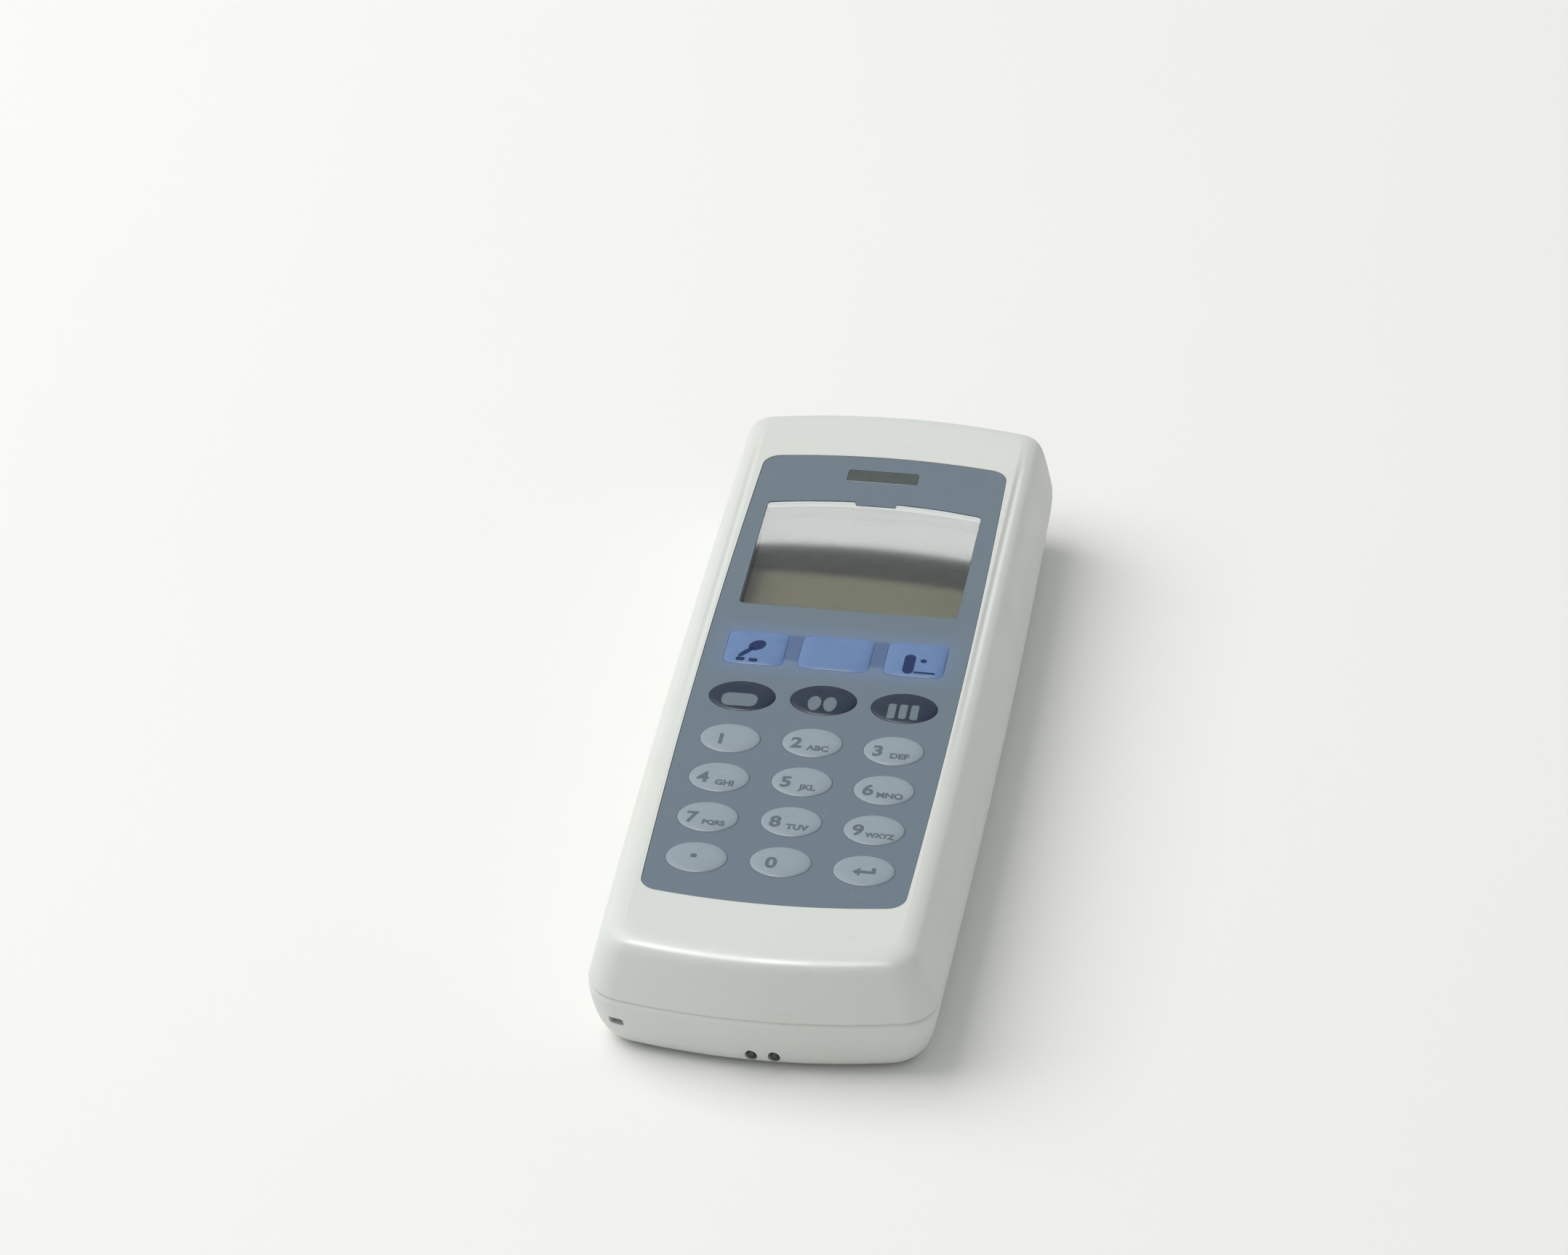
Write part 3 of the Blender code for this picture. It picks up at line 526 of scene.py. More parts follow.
def panel_finish():
    """Printed film in blue-grey, lit blue around and between the three function keys."""
    finish = Finish("panel_film", (0.132, 0.177, 0.219), 0.46, Specular_IOR_Level=0.30)
    finish.tint(finish.ramp(finish.axis("Y"), -60 * MM, 60 * MM, 0.0, 0.35), (0.140, 0.180, 0.212))
    glow = blue_glow(finish)
    finish.tint(finish.math("MULTIPLY", glow, 0.25), (0.12, 0.19, 0.35))
    finish.set("Emission Color", (0.10, 0.19, 0.55))
    finish.set("Emission Strength", finish.math("MULTIPLY", glow, 0.07))
    finish.tint(finish.math("MULTIPLY", strip_between_keys(finish), 0.85), (0.066, 0.110, 0.215))
    finish.mottle(finish.noise(900, 3), 0.60, 0.80, 0.12, (0.30, 0.34, 0.37))
    finish.bump(finish.noise(7800, 1), 0.10, 0.02 * MM)
    finish.bump(finish.noise(160, 2), 0.05, 0.10 * MM)
    finish.vary_roughness(finish.noise(60, 2), 0.40, 0.54)
    return finish.done()


def strip_between_keys(finish):
    """1 on the dark strips between neighbouring function keys."""
    side = finish.math("ABSOLUTE", finish.axis("X"))
    across = finish.math("ABSOLUTE", finish.math("SUBTRACT", side, STRIP_X))
    along = finish.math("SUBTRACT", finish.axis("Y"), FUNCTION_ROW_Y + 0.8 * MM)
    in_x = finish.ramp(across, 1.1 * MM, 1.5 * MM, 1.0, 0.0)
    in_y = finish.ramp(finish.math("ABSOLUTE", along), 3.2 * MM, 4.2 * MM, 1.0, 0.0)
    return finish.math("MULTIPLY", in_x, in_y)


def blue_glow(finish):
    """1 beside the function keys, fading to 0 a few millimetres away."""
    along = finish.math("ABSOLUTE", finish.math("SUBTRACT", finish.axis("Y"), FUNCTION_ROW_Y))
    across = finish.math("ABSOLUTE", finish.axis("X"))
    near_y = finish.ramp(along, 4.0 * MM, 9.5 * MM, 1.0, 0.0)
    near_x = finish.ramp(across, 17 * MM, 23 * MM, 1.0, 0.0)
    return finish.math("MULTIPLY", near_y, near_x)


def key_finish(name, color, spot, roughness=0.46):
    """A satin silicone or lacquered cap with a faint mottle."""
    finish = Finish(name, color, roughness, Specular_IOR_Level=0.30)
    finish.mottle(finish.noise(700, 3), 0.45, 0.75, 0.35, spot)
    # dust and painted shade where the cap sinks to the panel
    finish.crevices(tuple(value * 0.45 for value in color), 0.7 * MM, 0.5)
    finish.bump(finish.noise(6500, 2), 0.12, 0.02 * MM)
    finish.vary_roughness(finish.noise(240, 2), roughness - 0.06, roughness + 0.08)
    return finish.done()


def blue_key_finish():
    """Translucent blue cap lit evenly from below, faintly cloudy."""
    finish = Finish("blue_key_lit", (0.106, 0.184, 0.335), 0.45, Specular_IOR_Level=0.30)
    cloud = finish.ramp(finish.noise(260, 2), 0.35, 0.70)
    finish.tint(finish.math("MULTIPLY", cloud, 0.4), (0.120, 0.198, 0.350))
    finish.set("Emission Color", (0.18, 0.28, 0.75))
    finish.set("Emission Strength", finish.ramp(cloud, 0.0, 1.0, 0.07, 0.10))
    finish.bump(finish.noise(5200, 2), 0.08, 0.02 * MM)
    return finish.done()


def ink_finish(name, color):
    """Screen-printed ink, slightly uneven."""
    finish = Finish(name, color, 0.55, Specular_IOR_Level=0.15)
    pale = tuple(value * 1.5 + 0.02 for value in color)
    finish.mottle(finish.noise(1800, 3), 0.45, 0.80, 0.30, pale)
    finish.bump(finish.noise(9000, 1), 0.10, 0.01 * MM)
    return finish.done()


def lens_finish():
    """Clear hard-coated acrylic: only what it mirrors is seen, over what lies below."""
    finish = Finish("clear_lens", (0.92, 0.94, 0.94), 0.055, Specular_IOR_Level=0.5)
    finish.set("Transmission Weight", 1.0)
    finish.set("IOR", 1.02)
    finish.set("Coat Weight", 1.0)
    finish.set("Coat Roughness", finish.ramp(finish.noise(120, 2), 0.35, 0.75, 0.027, 0.030))
    finish.set("Coat IOR", 1.55)
    return finish.done()


def lcd_finish():
    """Reflective olive display with a fine pixel grid: painted shade darkens it above a curved line, olive
    below it, and a little along its left edge.
    """
    finish = Finish("lcd_cell", (0.117, 0.113, 0.073), 0.5, Specular_IOR_Level=0.05)
    pitch = 0.42 * MM
    for name in ("X", "Y"):
        wave = finish.math("PINGPONG", finish.axis(name), pitch / 2)
        line = finish.ramp(wave, 0.0, 0.05 * MM, 0.12, 0.0)
        finish.tint(line, (0.087, 0.086, 0.058))
    finish.mottle(finish.noise(60, 2), 0.35, 0.75, 0.35, (0.130, 0.124, 0.080))
    # painted shade: the window's recess darkens the display above a curved line
    side = finish.axis("X")
    bulge = finish.math("MULTIPLY", finish.math("POWER", finish.math("ABSOLUTE", side), 2.0), 2.0)
    slope = finish.math("MULTIPLY", side, 0.045)
    shade_edge_y = finish.math("ADD", finish.axis("Y"), finish.math("ADD", bulge, slope))
    finish.tint(finish.ramp(shade_edge_y, 32.3 * MM, 35.2 * MM, 0.0, 0.95), (0.012, 0.013, 0.011))
    # painted shade along the left edge, below the opening's wall
    left_edge_shade = finish.ramp(finish.axis("X"), -19.5 * MM, -17.5 * MM, 0.12, 0.0)
    finish.tint(left_edge_shade, (0.060, 0.064, 0.056))
    finish.vary_roughness(finish.noise(400, 2), 0.45, 0.55)
    return finish.done()


def smoke_finish():
    """Dark translucent plastic of the indicator."""
    finish = Finish("smoke_lens", (0.045, 0.060, 0.055), 0.34, Specular_IOR_Level=0.35)
    finish.mottle(finish.noise(500, 2), 0.35, 0.75, 0.5, (0.060, 0.076, 0.071))
    finish.bump(finish.noise(2400, 2), 0.06, 0.02 * MM)
    return finish.done()


def scan_finish():
    """Deep red optical acrylic."""
    finish = Finish("scan_window_red", (0.10, 0.006, 0.008), 0.06, Specular_IOR_Level=0.6)
    finish.set("Coat Weight", 0.6)
    finish.mottle(finish.noise(120, 2), 0.35, 0.75, 0.6, (0.05, 0.004, 0.006))
    finish.vary_roughness(finish.noise(800, 3), 0.05, 0.10)
    return finish.done()


def metal_finish(name, color, roughness):
    """Plated metal with drawn scratches."""
    finish = Finish(name, color, roughness, Metallic=1.0)
    streaks = finish.noise(900, 3, stretch=(1, 9, 1))
    finish.mottle(streaks, 0.45, 0.75, 0.4, tuple(value * 0.7 for value in color))
    finish.bump(streaks, 0.10, 0.02 * MM)
    # painted shade, with some dust, in the screws' recesses and cross
    finish.crevices(tuple(value * 0.12 for value in color), 2.5 * MM, 0.9)
    finish.vary_roughness(streaks, roughness - 0.08, roughness + 0.12)
    return finish.done()


def dull_finish(name, color, roughness=0.62, grain=2600):
    """Moulded black plastic, foam or silicone that stays inside the case."""
    finish = Finish(name, color, roughness, Specular_IOR_Level=0.35)
    grains = finish.noise(grain, 3)
    finish.mottle(grains, 0.40, 0.75, 0.5, tuple(value * 1.6 + 0.01 for value in color))
    finish.bump(grains, 0.30, 0.05 * MM)
    return finish.done()


def board_finish():
    """Green solder mask over copper tracks."""
    finish = Finish("solder_mask", (0.015, 0.11, 0.045), 0.32)
    tracks = finish.node("ShaderNodeTexVoronoi", feature="DISTANCE_TO_EDGE", distance="MANHATTAN")
    finish.join(finish.place, tracks.inputs["Vector"])
    tracks.inputs["Scale"].default_value = 420
    line = finish.ramp(tracks.outputs["Distance"], 0.04, 0.09, 1.0, 0.0)
    finish.tint(finish.math("MULTIPLY", line, 0.7), (0.05, 0.20, 0.09))
    finish.bump(line, 0.2, 0.03 * MM)
    return finish.done()


def cell_finish():
    """Printed sleeve: dark green body with a pale band at one end."""
    finish = Finish("cell_sleeve", (0.03, 0.13, 0.07), 0.28, Metallic=0.3)
    band = finish.ramp(finish.axis("Y"), -24 * MM, -23.6 * MM)
    finish.tint(band, (0.45, 0.46, 0.44))
    finish.mottle(finish.noise(500, 2), 0.5, 0.8, 0.2, (0.25, 0.27, 0.26))
    finish.vary_roughness(finish.noise(200, 2), 0.24, 0.36)
    return finish.done()


def floor_finish():
    """A plain pale table top."""
    finish = Finish("pale_floor", (0.85, 0.85, 0.83), 0.9, Specular_IOR_Level=0.1)
    finish.mottle(finish.noise(6, 3), 0.35, 0.75, 0.3, (0.83, 0.83, 0.80))
    return finish.done()


# ---- Case ----
def fine_profile(profile):
    """Pass a smooth curve through a coarse profile (Catmull-Rom)."""
    points = [Vector(level) for level in profile]
    padded = [2 * points[0] - points[1]] + points + [2 * points[-1] - points[-2]]
    fine = []
    for before, start, end, after in zip(padded, padded[1:], padded[2:], padded[3:]):
        for step in range(PROFILE_STEPS):
            share = step / PROFILE_STEPS
            fine.append(0.5 * (2 * start + (end - before) * share
                               + (2 * before - 5 * start + 4 * end - after) * share ** 2
                               + (3 * start - before - 3 * end + after) * share ** 3))
    fine.append(points[-1])
    return fine


def body_ring(height, side_inset, end_inset):
    """The body's outline at one height. The head's corners are tighter than the tail's."""
    size = (BODY_WIDTH - 2 * side_inset, BODY_LENGTH - 2 * end_inset)
    head_corner = HEAD_CORNER - HEAD_CORNER_LOSS * side_inset
    tail_corner = TAIL_CORNER - TAIL_CORNER_LOSS * side_inset
    head_bow = max(HEAD_SIDE_BOW - HEAD_BOW_LOSS * side_inset, LEAST_SIDE_BOW)
    head = quarter_outline(*size, head_corner, head_bow, END_ANGLE)
    tail = quarter_outline(*size, tail_corner, TAIL_SIDE_BOW, END_ANGLE)
    return lift(closed_outline(head, tail), height)


def shell_rings(profile, side, inner_face, lip=()):
    """Outer skin from the middle of the face to the groove, the lip, then the inner skin back."""
    groove = tuple((PARTING + side * height, inset, inset) for height, inset in SEAM_GROOVE)
    outer = [body_ring(*level) for level in reversed(fine_profile(groove + profile))]
    inner = [body_ring(*level) for level in lip]
    for height, side_inset, end_inset in profile[:INNER_LEVELS]:
        inner.append(body_ring(height, side_inset + WALL, end_inset + WALL))
    _, last_side, last_end = profile[INNER_LEVELS - 1]
    step_in = INNER_FACE_WALLS * WALL
    inner.append(body_ring(inner_face, last_side + step_in, last_end + step_in))
    return outer + inner


def groove_shoulders(rings):
    """Press a shallow valley into both shoulders, fading out towards the two ends."""
    for point in (point for ring in rings for point in ring):
        if point.z < SHOULDER_LEVEL:
            continue
        across = (abs(point.x) - SHOULDER_GROOVE_X) / SHOULDER_GROOVE_REACH
        along = smooth(point.y, *SHOULDER_FADE_TAIL) * (1 - smooth(point.y, *SHOULDER_FADE_HEAD))
        point.z -= SHOULDER_GROOVE_DEPTH * math.exp(-across ** 2) * along


def smooth(value, low, high):
    """Smooth step from 0 at low to 1 at high."""
    share = min(1.0, max(0.0, (value - low) / (high - low)))
    return share * share * (3 - 2 * share)


def panel_outline(grow=0.0):
    size = (PANEL_WIDTH + 2 * grow, PANEL_LENGTH + 2 * grow)
    return outline(*size, PANEL_CORNER + grow, PANEL_SIDE_BOW, PANEL_END_ANGLE)


def window_outline(grow):
    """The window's head edge follows the curve of the head; its tail edge is almost straight."""
    form = (WINDOW_WIDTH + 2 * grow, WINDOW_LENGTH + 2 * grow, WINDOW_CORNER + max(grow, 0), 0.0)
    steps = (4, 6, 12)
    return closed_outline(quarter_outline(*form, WINDOW_HEAD_ANGLE, steps),
                          quarter_outline(*form, WINDOW_TAIL_ANGLE, steps))


def indicator_outline(grow):
    size = (INDICATOR_WIDTH + 2 * grow, INDICATOR_LENGTH + 2 * grow)
    return outline(*size, INDICATOR_CORNER, steps=(2, 6, 2))


def top_openings(window_grow, indicator_grow):
    """A cutter for the window, the indicator and every key."""
    places = [(window_outline(window_grow), 0, WINDOW_CENTRE_Y),
              (indicator_outline(indicator_grow), 0, INDICATOR_Y)]
    places += [(key_outline(key, KEY_SEAM), key["x"], key["y"]) for key in KEYS]
    return prisms([(*place, *OPENING_ENDS) for place in places])


def scan_opening():
    low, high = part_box("scan_window")
    start, end = SCAN_OPENING_ENDS
    return block((low.x - GAP, start, low.z - GAP), (high.x + GAP, end, high.z + GAP), SCAN_OPENING_ROUND)


def screw_centres():
    boxes = [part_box(f"case_screw_{number}") for number in (1, 2, 3, 4)]
    return [((low.x + high.x) / 2, (low.y + high.y) / 2) for low, high in boxes]


def upright_rods(radius, low, high):
    """A cutter of four rods, one along each screw."""
    disc = oval(2 * radius, 2 * radius, ROUND_POINTS)
    return prisms([(disc, x, y, low, high) for x, y in screw_centres()])


def make_upper_shell(finish):
    rings = shell_rings(UPPER_PROFILE, 1, BODY_TOP - WALL)
    groove_shoulders(rings)
    shell = loft("upper_case", rings, finish)
    bosses = upright_rods(UPPER_BOSS_RADIUS, PARTING + LIP_HEIGHT, BODY_TOP - WALL / 2)
    cut(shell, bosses, operation="UNION")
    recess = (panel_outline(PANEL_SEAM), 0, PANEL_CENTRE_Y, BODY_TOP - PANEL_RECESS, BODY_TOP + MM)
    cut(shell, upright_rods(SCREW_HOLE_RADIUS, *UPPER_HOLE), prisms([recess]),
        top_openings(WINDOW_SEAT, GAP), scan_opening())
    replace_node(shell, "upper_shell", "case")


def rim_lip():
    """Levels of the lower shell's lip, inside the upper shell's wall."""
    rim = PARTING - SEAM_GROOVE[0][0]
    outside = WALL + LIP_GAP
    inside = outside + LIP_THICKNESS
    top = rim + LIP_HEIGHT
    steps = ((rim, outside), (top, outside), (top, inside), (rim - MM, inside))
    return tuple((height, inset, inset) for height, inset in steps)


def make_lower_shell(finish):
    shell = loft("lower_case", shell_rings(LOWER_PROFILE, -1, WALL, rim_lip()), finish)
    bay = block((BAY_LOW.x - BAY_WALL, BAY_LOW.y - BAY_WALL, MM),
                (BAY_HIGH.x + BAY_WALL, BAY_HIGH.y + BAY_WALL, BAY_ROOF))
    cut(shell, bay, upright_rods(LOWER_BOSS_RADIUS, MM, PARTING - BOSS_GAP), operation="UNION")
    recess = outline(COVER_WIDTH + 2 * GAP, COVER_LENGTH + 2 * GAP, COVER_RECESS_CORNER, steps=(2, 8, 2))
    cut(shell,
        block((BAY_LOW.x, BAY_LOW.y, -MM), (BAY_HIGH.x, BAY_HIGH.y, BAY_CUT_TOP)),
        prisms([(recess, 0, COVER_CENTRE_Y, -MM, COVER_RECESS_DEPTH)]),
        upright_rods(SCREW_HOLE_RADIUS, *LOWER_HOLE),
        upright_rods(HEAD_RECESS_RADIUS, -MM, HEAD_RECESS_DEPTH),
        scan_opening(), contact_holes(), strap_slot())
    replace_node(shell, "lower_shell", "case")


def contact_holes():
    """Oval openings in the keypad end, around the charging contacts."""
    bm = bmesh.new()
    for node in ("charge_contact_left", "charge_contact_right"):
        low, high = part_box(node)
        x, z = (low.x + high.x) / 2, (low.z + high.z) / 2
        rim = oval(CONTACT_HOLE_WIDTH, CONTACT_HOLE_HEIGHT, ROUND_POINTS)
        add_loft(bm, [[Vector((x + across, y, z + up)) for across, up in rim] for y in CONTACT_HOLE_ENDS])
    return finish_mesh("cutter", bm, None)


def strap_slot():
    """A slot for a wrist strap through the left corner of the keypad end."""
    slot = block(-STRAP_SLOT_CORNER, STRAP_SLOT_CORNER, STRAP_SLOT_ROUND)
    slot.location = STRAP_SLOT_PLACE
    slot.rotation_euler = (0, 0, STRAP_SLOT_TURN)
    bpy.context.view_layer.update()
    return slot


def make_cover(finish):
    """Battery cover with rounded edges, a locating tab and finger grooves."""
    rings = []
    for height, inset in ((0.0, 0.25 * MM), (0.08 * MM, 0.08 * MM), (0.25 * MM, 0.0), (COVER_THICKNESS, 0.0)):
        points = outline(COVER_WIDTH - 2 * inset, COVER_LENGTH - 2 * inset, COVER_CORNER - inset / 2,
                         steps=(2, 8, 2))
        rings.append(lift(points, height, 0, COVER_CENTRE_Y))
    cover = loft("battery_door_cover", rings, finish)
    cut(cover, block(COVER_TAB_LOW, COVER_TAB_HIGH), operation="UNION")
    groove = outline(GRIP_GROOVE_WIDTH, GRIP_GROOVE_LENGTH, GRIP_GROOVE_CORNER, steps=(1, 8, 1))
    places = [COVER_CENTRE_Y - GRIP_START - GRIP_PITCH * step for step in range(GRIP_GROOVES)]
    cut(cover, prisms([(groove, 0, y, -MM, GRIP_GROOVE_DEPTH) for y in places]))
    replace_node(cover, "battery_cover", "battery_door")


def make_screws(finish):
    """Cross-head screws, seen in their recesses in the underside."""
    for number, (x, y) in enumerate(screw_centres(), start=1):
        rings = [lift(oval(2 * radius * MM, 2 * radius * MM, ROUND_POINTS), height * MM, x, y)
                 for height, radius in SCREW_PROFILE]
        screw = loft(f"cross_screw_{number}", rings, finish)
        bars = [block((x - across, y - along, 0), (x + across, y + along, CROSS_TOP))
                for across, along in ((CROSS_REACH, CROSS_HALF_WIDTH), (CROSS_HALF_WIDTH, CROSS_REACH))]
        cut(screw, *bars)
        replace_node(screw, f"case_screw_{number}", "case")


# ---- Panel and display ----
def make_panel(finish):
    """The printed panel, its edge eased, with its openings and the tab over the display."""
    rings = [lift(panel_outline(), PANEL_LOW.z, 0, PANEL_CENTRE_Y)]
    for step in range(PANEL_EDGE_STEPS + 1):
        turn = step / PANEL_EDGE_STEPS * math.pi / 2
        shape = panel_outline(-PANEL_EDGE * (1 - math.cos(turn)))
        rings.append(lift(shape, PANEL_TOP - PANEL_EDGE * (1 - math.sin(turn)), 0, PANEL_CENTRE_Y))
    panel = loft("front_panel", rings, finish)
    cut(panel, top_openings(0.0, 0.0))
    tab = outline(TAB_WIDTH, TAB_LENGTH, TAB_CORNER, steps=(1, 6, 1))
    tab_y = WINDOW_CENTRE_Y + WINDOW_LENGTH / 2 - TAB_REACH
    cut(panel, prisms([(tab, 0, tab_y, PANEL_LOW.z, PANEL_TOP - TAB_DROP)]), operation="UNION")
    replace_node(panel, "keypad_overlay", "case")


def make_indicator(finish):
    """The dark light pipe, flush in its opening."""
    foot, top = PIPE_LOW.z, PANEL_TOP - 0.02 * MM
    levels = ((foot, INDICATOR_FLANGE), (foot + MM, INDICATOR_FLANGE), (foot + MM, -INSERT_SLACK),
              (top - 0.06 * MM, -INSERT_SLACK), (top, -0.10 * MM))
    rings = [lift(indicator_outline(grow), height, 0, INDICATOR_Y) for height, grow in levels]
    replace_node(loft("indicator_pipe", rings, finish), "indicator_lens", "case")


def make_window(finish):
    """The clear display window: a plate under the panel with a raised face in its opening."""
    top = PANEL_TOP - WINDOW_DROP
    levels = ((LENS_LOW.z, WINDOW_RIM), (LENS_HIGH.z, WINDOW_RIM), (LENS_HIGH.z, -INSERT_SLACK),
              (top - 0.05 * MM, -INSERT_SLACK), (top, -0.09 * MM))
    rings = [lift(window_outline(grow), height, 0, WINDOW_CENTRE_Y) for height, grow in levels]
    replace_node(loft("display_window", rings, finish), "display_lens", "case")


def round_cad_edges(node, width):
    """Ease the edges of a CAD node that stays in view."""
    modifier = frame["nodes"][node].modifiers.new("rounded_edges", "BEVEL")
    modifier.width = width
    modifier.segments = 3
    modifier.limit_method = "ANGLE"
    weigh_normals(frame["nodes"][node])


# ---- Keys ----
def read_keys():
    """Every key's place and size, from its own CAD node."""
    keys = []
    for node in frame["nodes"]:
        if not (node.startswith("key_") or "_key_" in node) or node == "key_mat":
            continue
        low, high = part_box(node)
        form = "block" if node.startswith("function") else "oval"
        flange = GAP if form == "block" else OVAL_FLANGE
        keys.append({"node": node, "x": (low.x + high.x) / 2, "y": (low.y + high.y) / 2, "form": form,
                     "width": high.x - low.x - 2 * flange, "length": high.y - low.y - 2 * flange,
                     "foot": low.z, "crown": high.z, "flange": flange})
    return sorted(keys, key=lambda key: key["node"])


def key_outline(key, grow):
    width, length = key["width"] + 2 * grow, key["length"] + 2 * grow
    if key["form"] == "oval":
        return oval(width, length)
    return outline(width, length, KEY_CORNER + grow, steps=(4, 8, 4))


def key_slot(key):
    return KEY_SLOTS[key["node"].split("_")[0]]


def key_surface(key, x, y):
    """Height of a key's pillow-shaped crown at a place measured from its centre."""
    across = abs(2 * x / (key["width"] + 2 * KEY_SWELL))
    along = abs(2 * y / (key["length"] + 2 * KEY_SWELL))
    power = CROWN_POWERS[key["form"]]
    reach = min(1.0, (across ** power + along ** power) ** (1 / power))
    edge = PANEL_TOP + CROWN_EDGE
    return edge + (key["crown"] - edge) * (1 - reach ** 4) ** 0.6


def make_keycap(key, finish):
    """Flange, stem and a low pillow-shaped crown."""
    foot, flange = key["foot"], key["flange"]
    levels = [(foot, flange), (foot + FLANGE_HEIGHT - FLANGE_EDGE, flange),
              (foot + FLANGE_HEIGHT, flange - FLANGE_EDGE), (foot + STEM_FOOT, KEY_SWELL)]
    layers = [lift(key_outline(key, grow), height, key["x"], key["y"]) for height, grow in levels]
    rim = key_outline(key, KEY_SWELL)
    for share in CROWN_SHARES:
        inner = [(x * share, y * share) for x, y in rim]
        layers.append([Vector((x + key["x"], y + key["y"], key_surface(key, x, y))) for x, y in inner])
    cap = loft(f"cap_{key['node']}", layers, finish)
    replace_node(cap, key["node"], f"{key['node']}_body")


# ---- Legends ----
def text_shapes(words, size, place, weight):
    """A line of letters as closed solids around a place on a key."""
    curve = bpy.data.curves.new("legend", "FONT")
    curve.body = words
    curve.size = size
    curve.align_x = "CENTER"
    curve.align_y = "CENTER"
    curve.extrude = LEGEND_DEPTH / 2
    curve.offset = weight
    curve.resolution_u = 4
    item = add_object("legend", curve)
    mesh = bpy.data.meshes.new_from_object(item.evaluated_get(bpy.context.evaluated_depsgraph_get()))
    mesh.transform(Matrix.Translation((*place, 0)))
    bpy.data.objects.remove(item)
    return mesh


def plan_shapes(plans):
    """Flat solids for symbols, from (outline, x, y, turn) plans."""
    bm = bmesh.new()
    for points, x, y, turn in plans:
        spin = Matrix.Rotation(turn, 2)
        placed = [spin @ Vector(point) + Vector((x, y)) for point in points]
        add_loft(bm, [lift(placed, -LEGEND_DEPTH / 2), lift(placed, LEGEND_DEPTH / 2)])
    mesh = bpy.data.meshes.new("symbol")
    bm.to_mesh(mesh)
    bm.free()
    return mesh


def print_on_key(key, meshes, finish):
    """Drape legend solids over a key's crown and let them ride with it."""
    bm = bmesh.new()
    for mesh in meshes:
        bm.from_mesh(mesh)
    bmesh.ops.remove_doubles(bm, verts=bm.verts, dist=WELD_DISTANCE)
    bmesh.ops.triangulate(bm, faces=bm.faces)
    for _ in range(LEGEND_PASSES):
        long_edges = [edge for edge in bm.edges
                      if edge.calc_length() > LEGEND_MESH and edge.verts[0].co.z == edge.verts[1].co.z]
        bmesh.ops.subdivide_edges(bm, edges=long_edges, cuts=1)
        bmesh.ops.triangulate(bm, faces=bm.faces)
    for vert in bm.verts:
        top = key_surface(key, vert.co.x, vert.co.y) + LEGEND_RISE
        vert.co.z = top if vert.co.z > 0 else top - LEGEND_DEPTH
        vert.co.x += key["x"]
        vert.co.y += key["y"]
    legend = finish_mesh(f"legend_{key['node']}", bm, finish)
    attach(legend, f"{key['node']}_body")


def digit_legend(key, finish):
    """A digit at the lower left, and small letters beside it."""
    digit = int(key["node"][-1])
    if digit in LETTERS:
        letters = LETTERS[digit]
        meshes = [text_shapes(str(digit), DIGIT_SIZE, DIGIT_PLACE, DIGIT_WEIGHT),
                  text_shapes(letters, LETTER_SIZES[len(letters)], LETTERS_PLACE, LETTER_WEIGHT)]
    else:
        meshes = [text_shapes(str(digit), DIGIT_SIZE, LONE_DIGIT_PLACE, DIGIT_WEIGHT)]
    print_on_key(key, meshes, finish)


def symbol_plans():
    """Simple signs for the keys that have no digit: (outline, x, y, turn) plans and an ink."""
    dot = oval(1.1 * MM, 1.1 * MM, 24)
    dash = outline(1.5 * MM, 0.8 * MM, 0.3 * MM, steps=(1, 4, 1))
    rule = outline(3.6 * MM, 0.4 * MM, 0.15 * MM, steps=(1, 4, 1))
    capsule = outline(1.9 * MM, 5.2 * MM, 0.9 * MM, steps=(1, 8, 1))
    leaf_bowl = oval(3.4 * MM, 2.5 * MM, ROUND_POINTS)
    leaf_tail = oval(3.6 * MM, 1.0 * MM, 24)
    tray = outline(6.0 * MM, 3.4 * MM, 1.4 * MM, steps=(1, 8, 1))
    disc = oval(2.2 * MM, 3.9 * MM, ROUND_POINTS)
    post = outline(1.3 * MM, 3.9 * MM, 0.4 * MM, steps=(1, 4, 1))
    arrow = [(-1.9 * MM, 0), (-0.6 * MM, -1.1 * MM), (-0.6 * MM, -0.35 * MM), (1.9 * MM, -0.35 * MM),
             (1.9 * MM, 1.2 * MM), (1.2 * MM, 1.2 * MM), (1.2 * MM, 0.35 * MM), (-0.6 * MM, 0.35 * MM),
             (-0.6 * MM, 1.1 * MM)]
    lean = math.radians(52)
    return {
        "key_point": ([(dot, -0.4 * MM, -0.2 * MM, 0)], "ink_grey"),
        "key_enter": ([(arrow, 0.1 * MM, -0.9 * MM, 0)], "ink_grey"),
        "menu_key_left": ([(tray, -0.2 * MM, -1.6 * MM, 0)], "ink_pale"),
        "menu_key_middle": ([(disc, x * MM, -1.5 * MM, 0) for x in (-1.3, 1.3)], "ink_pale"),
        "menu_key_right": ([(post, x * MM, -1.5 * MM, 0) for x in (-1.9, 0.0, 1.9)], "ink_pale"),
        "function_key_left": ([(leaf_bowl, 0.2 * MM, 0.1 * MM, lean), (leaf_tail, -1.4 * MM, -2.0 * MM, lean),
                               (dash, -2.1 * MM, -3.9 * MM, 0), (dash, 0.1 * MM, -4.0 * MM, 0)], "ink_blue"),
        "function_key_right": ([(capsule, -0.9 * MM, -1.8 * MM, 0), (dot, 1.4 * MM, -0.8 * MM, 0),
                                (rule, 1.9 * MM, -4.0 * MM, 0)], "ink_blue"),
    }


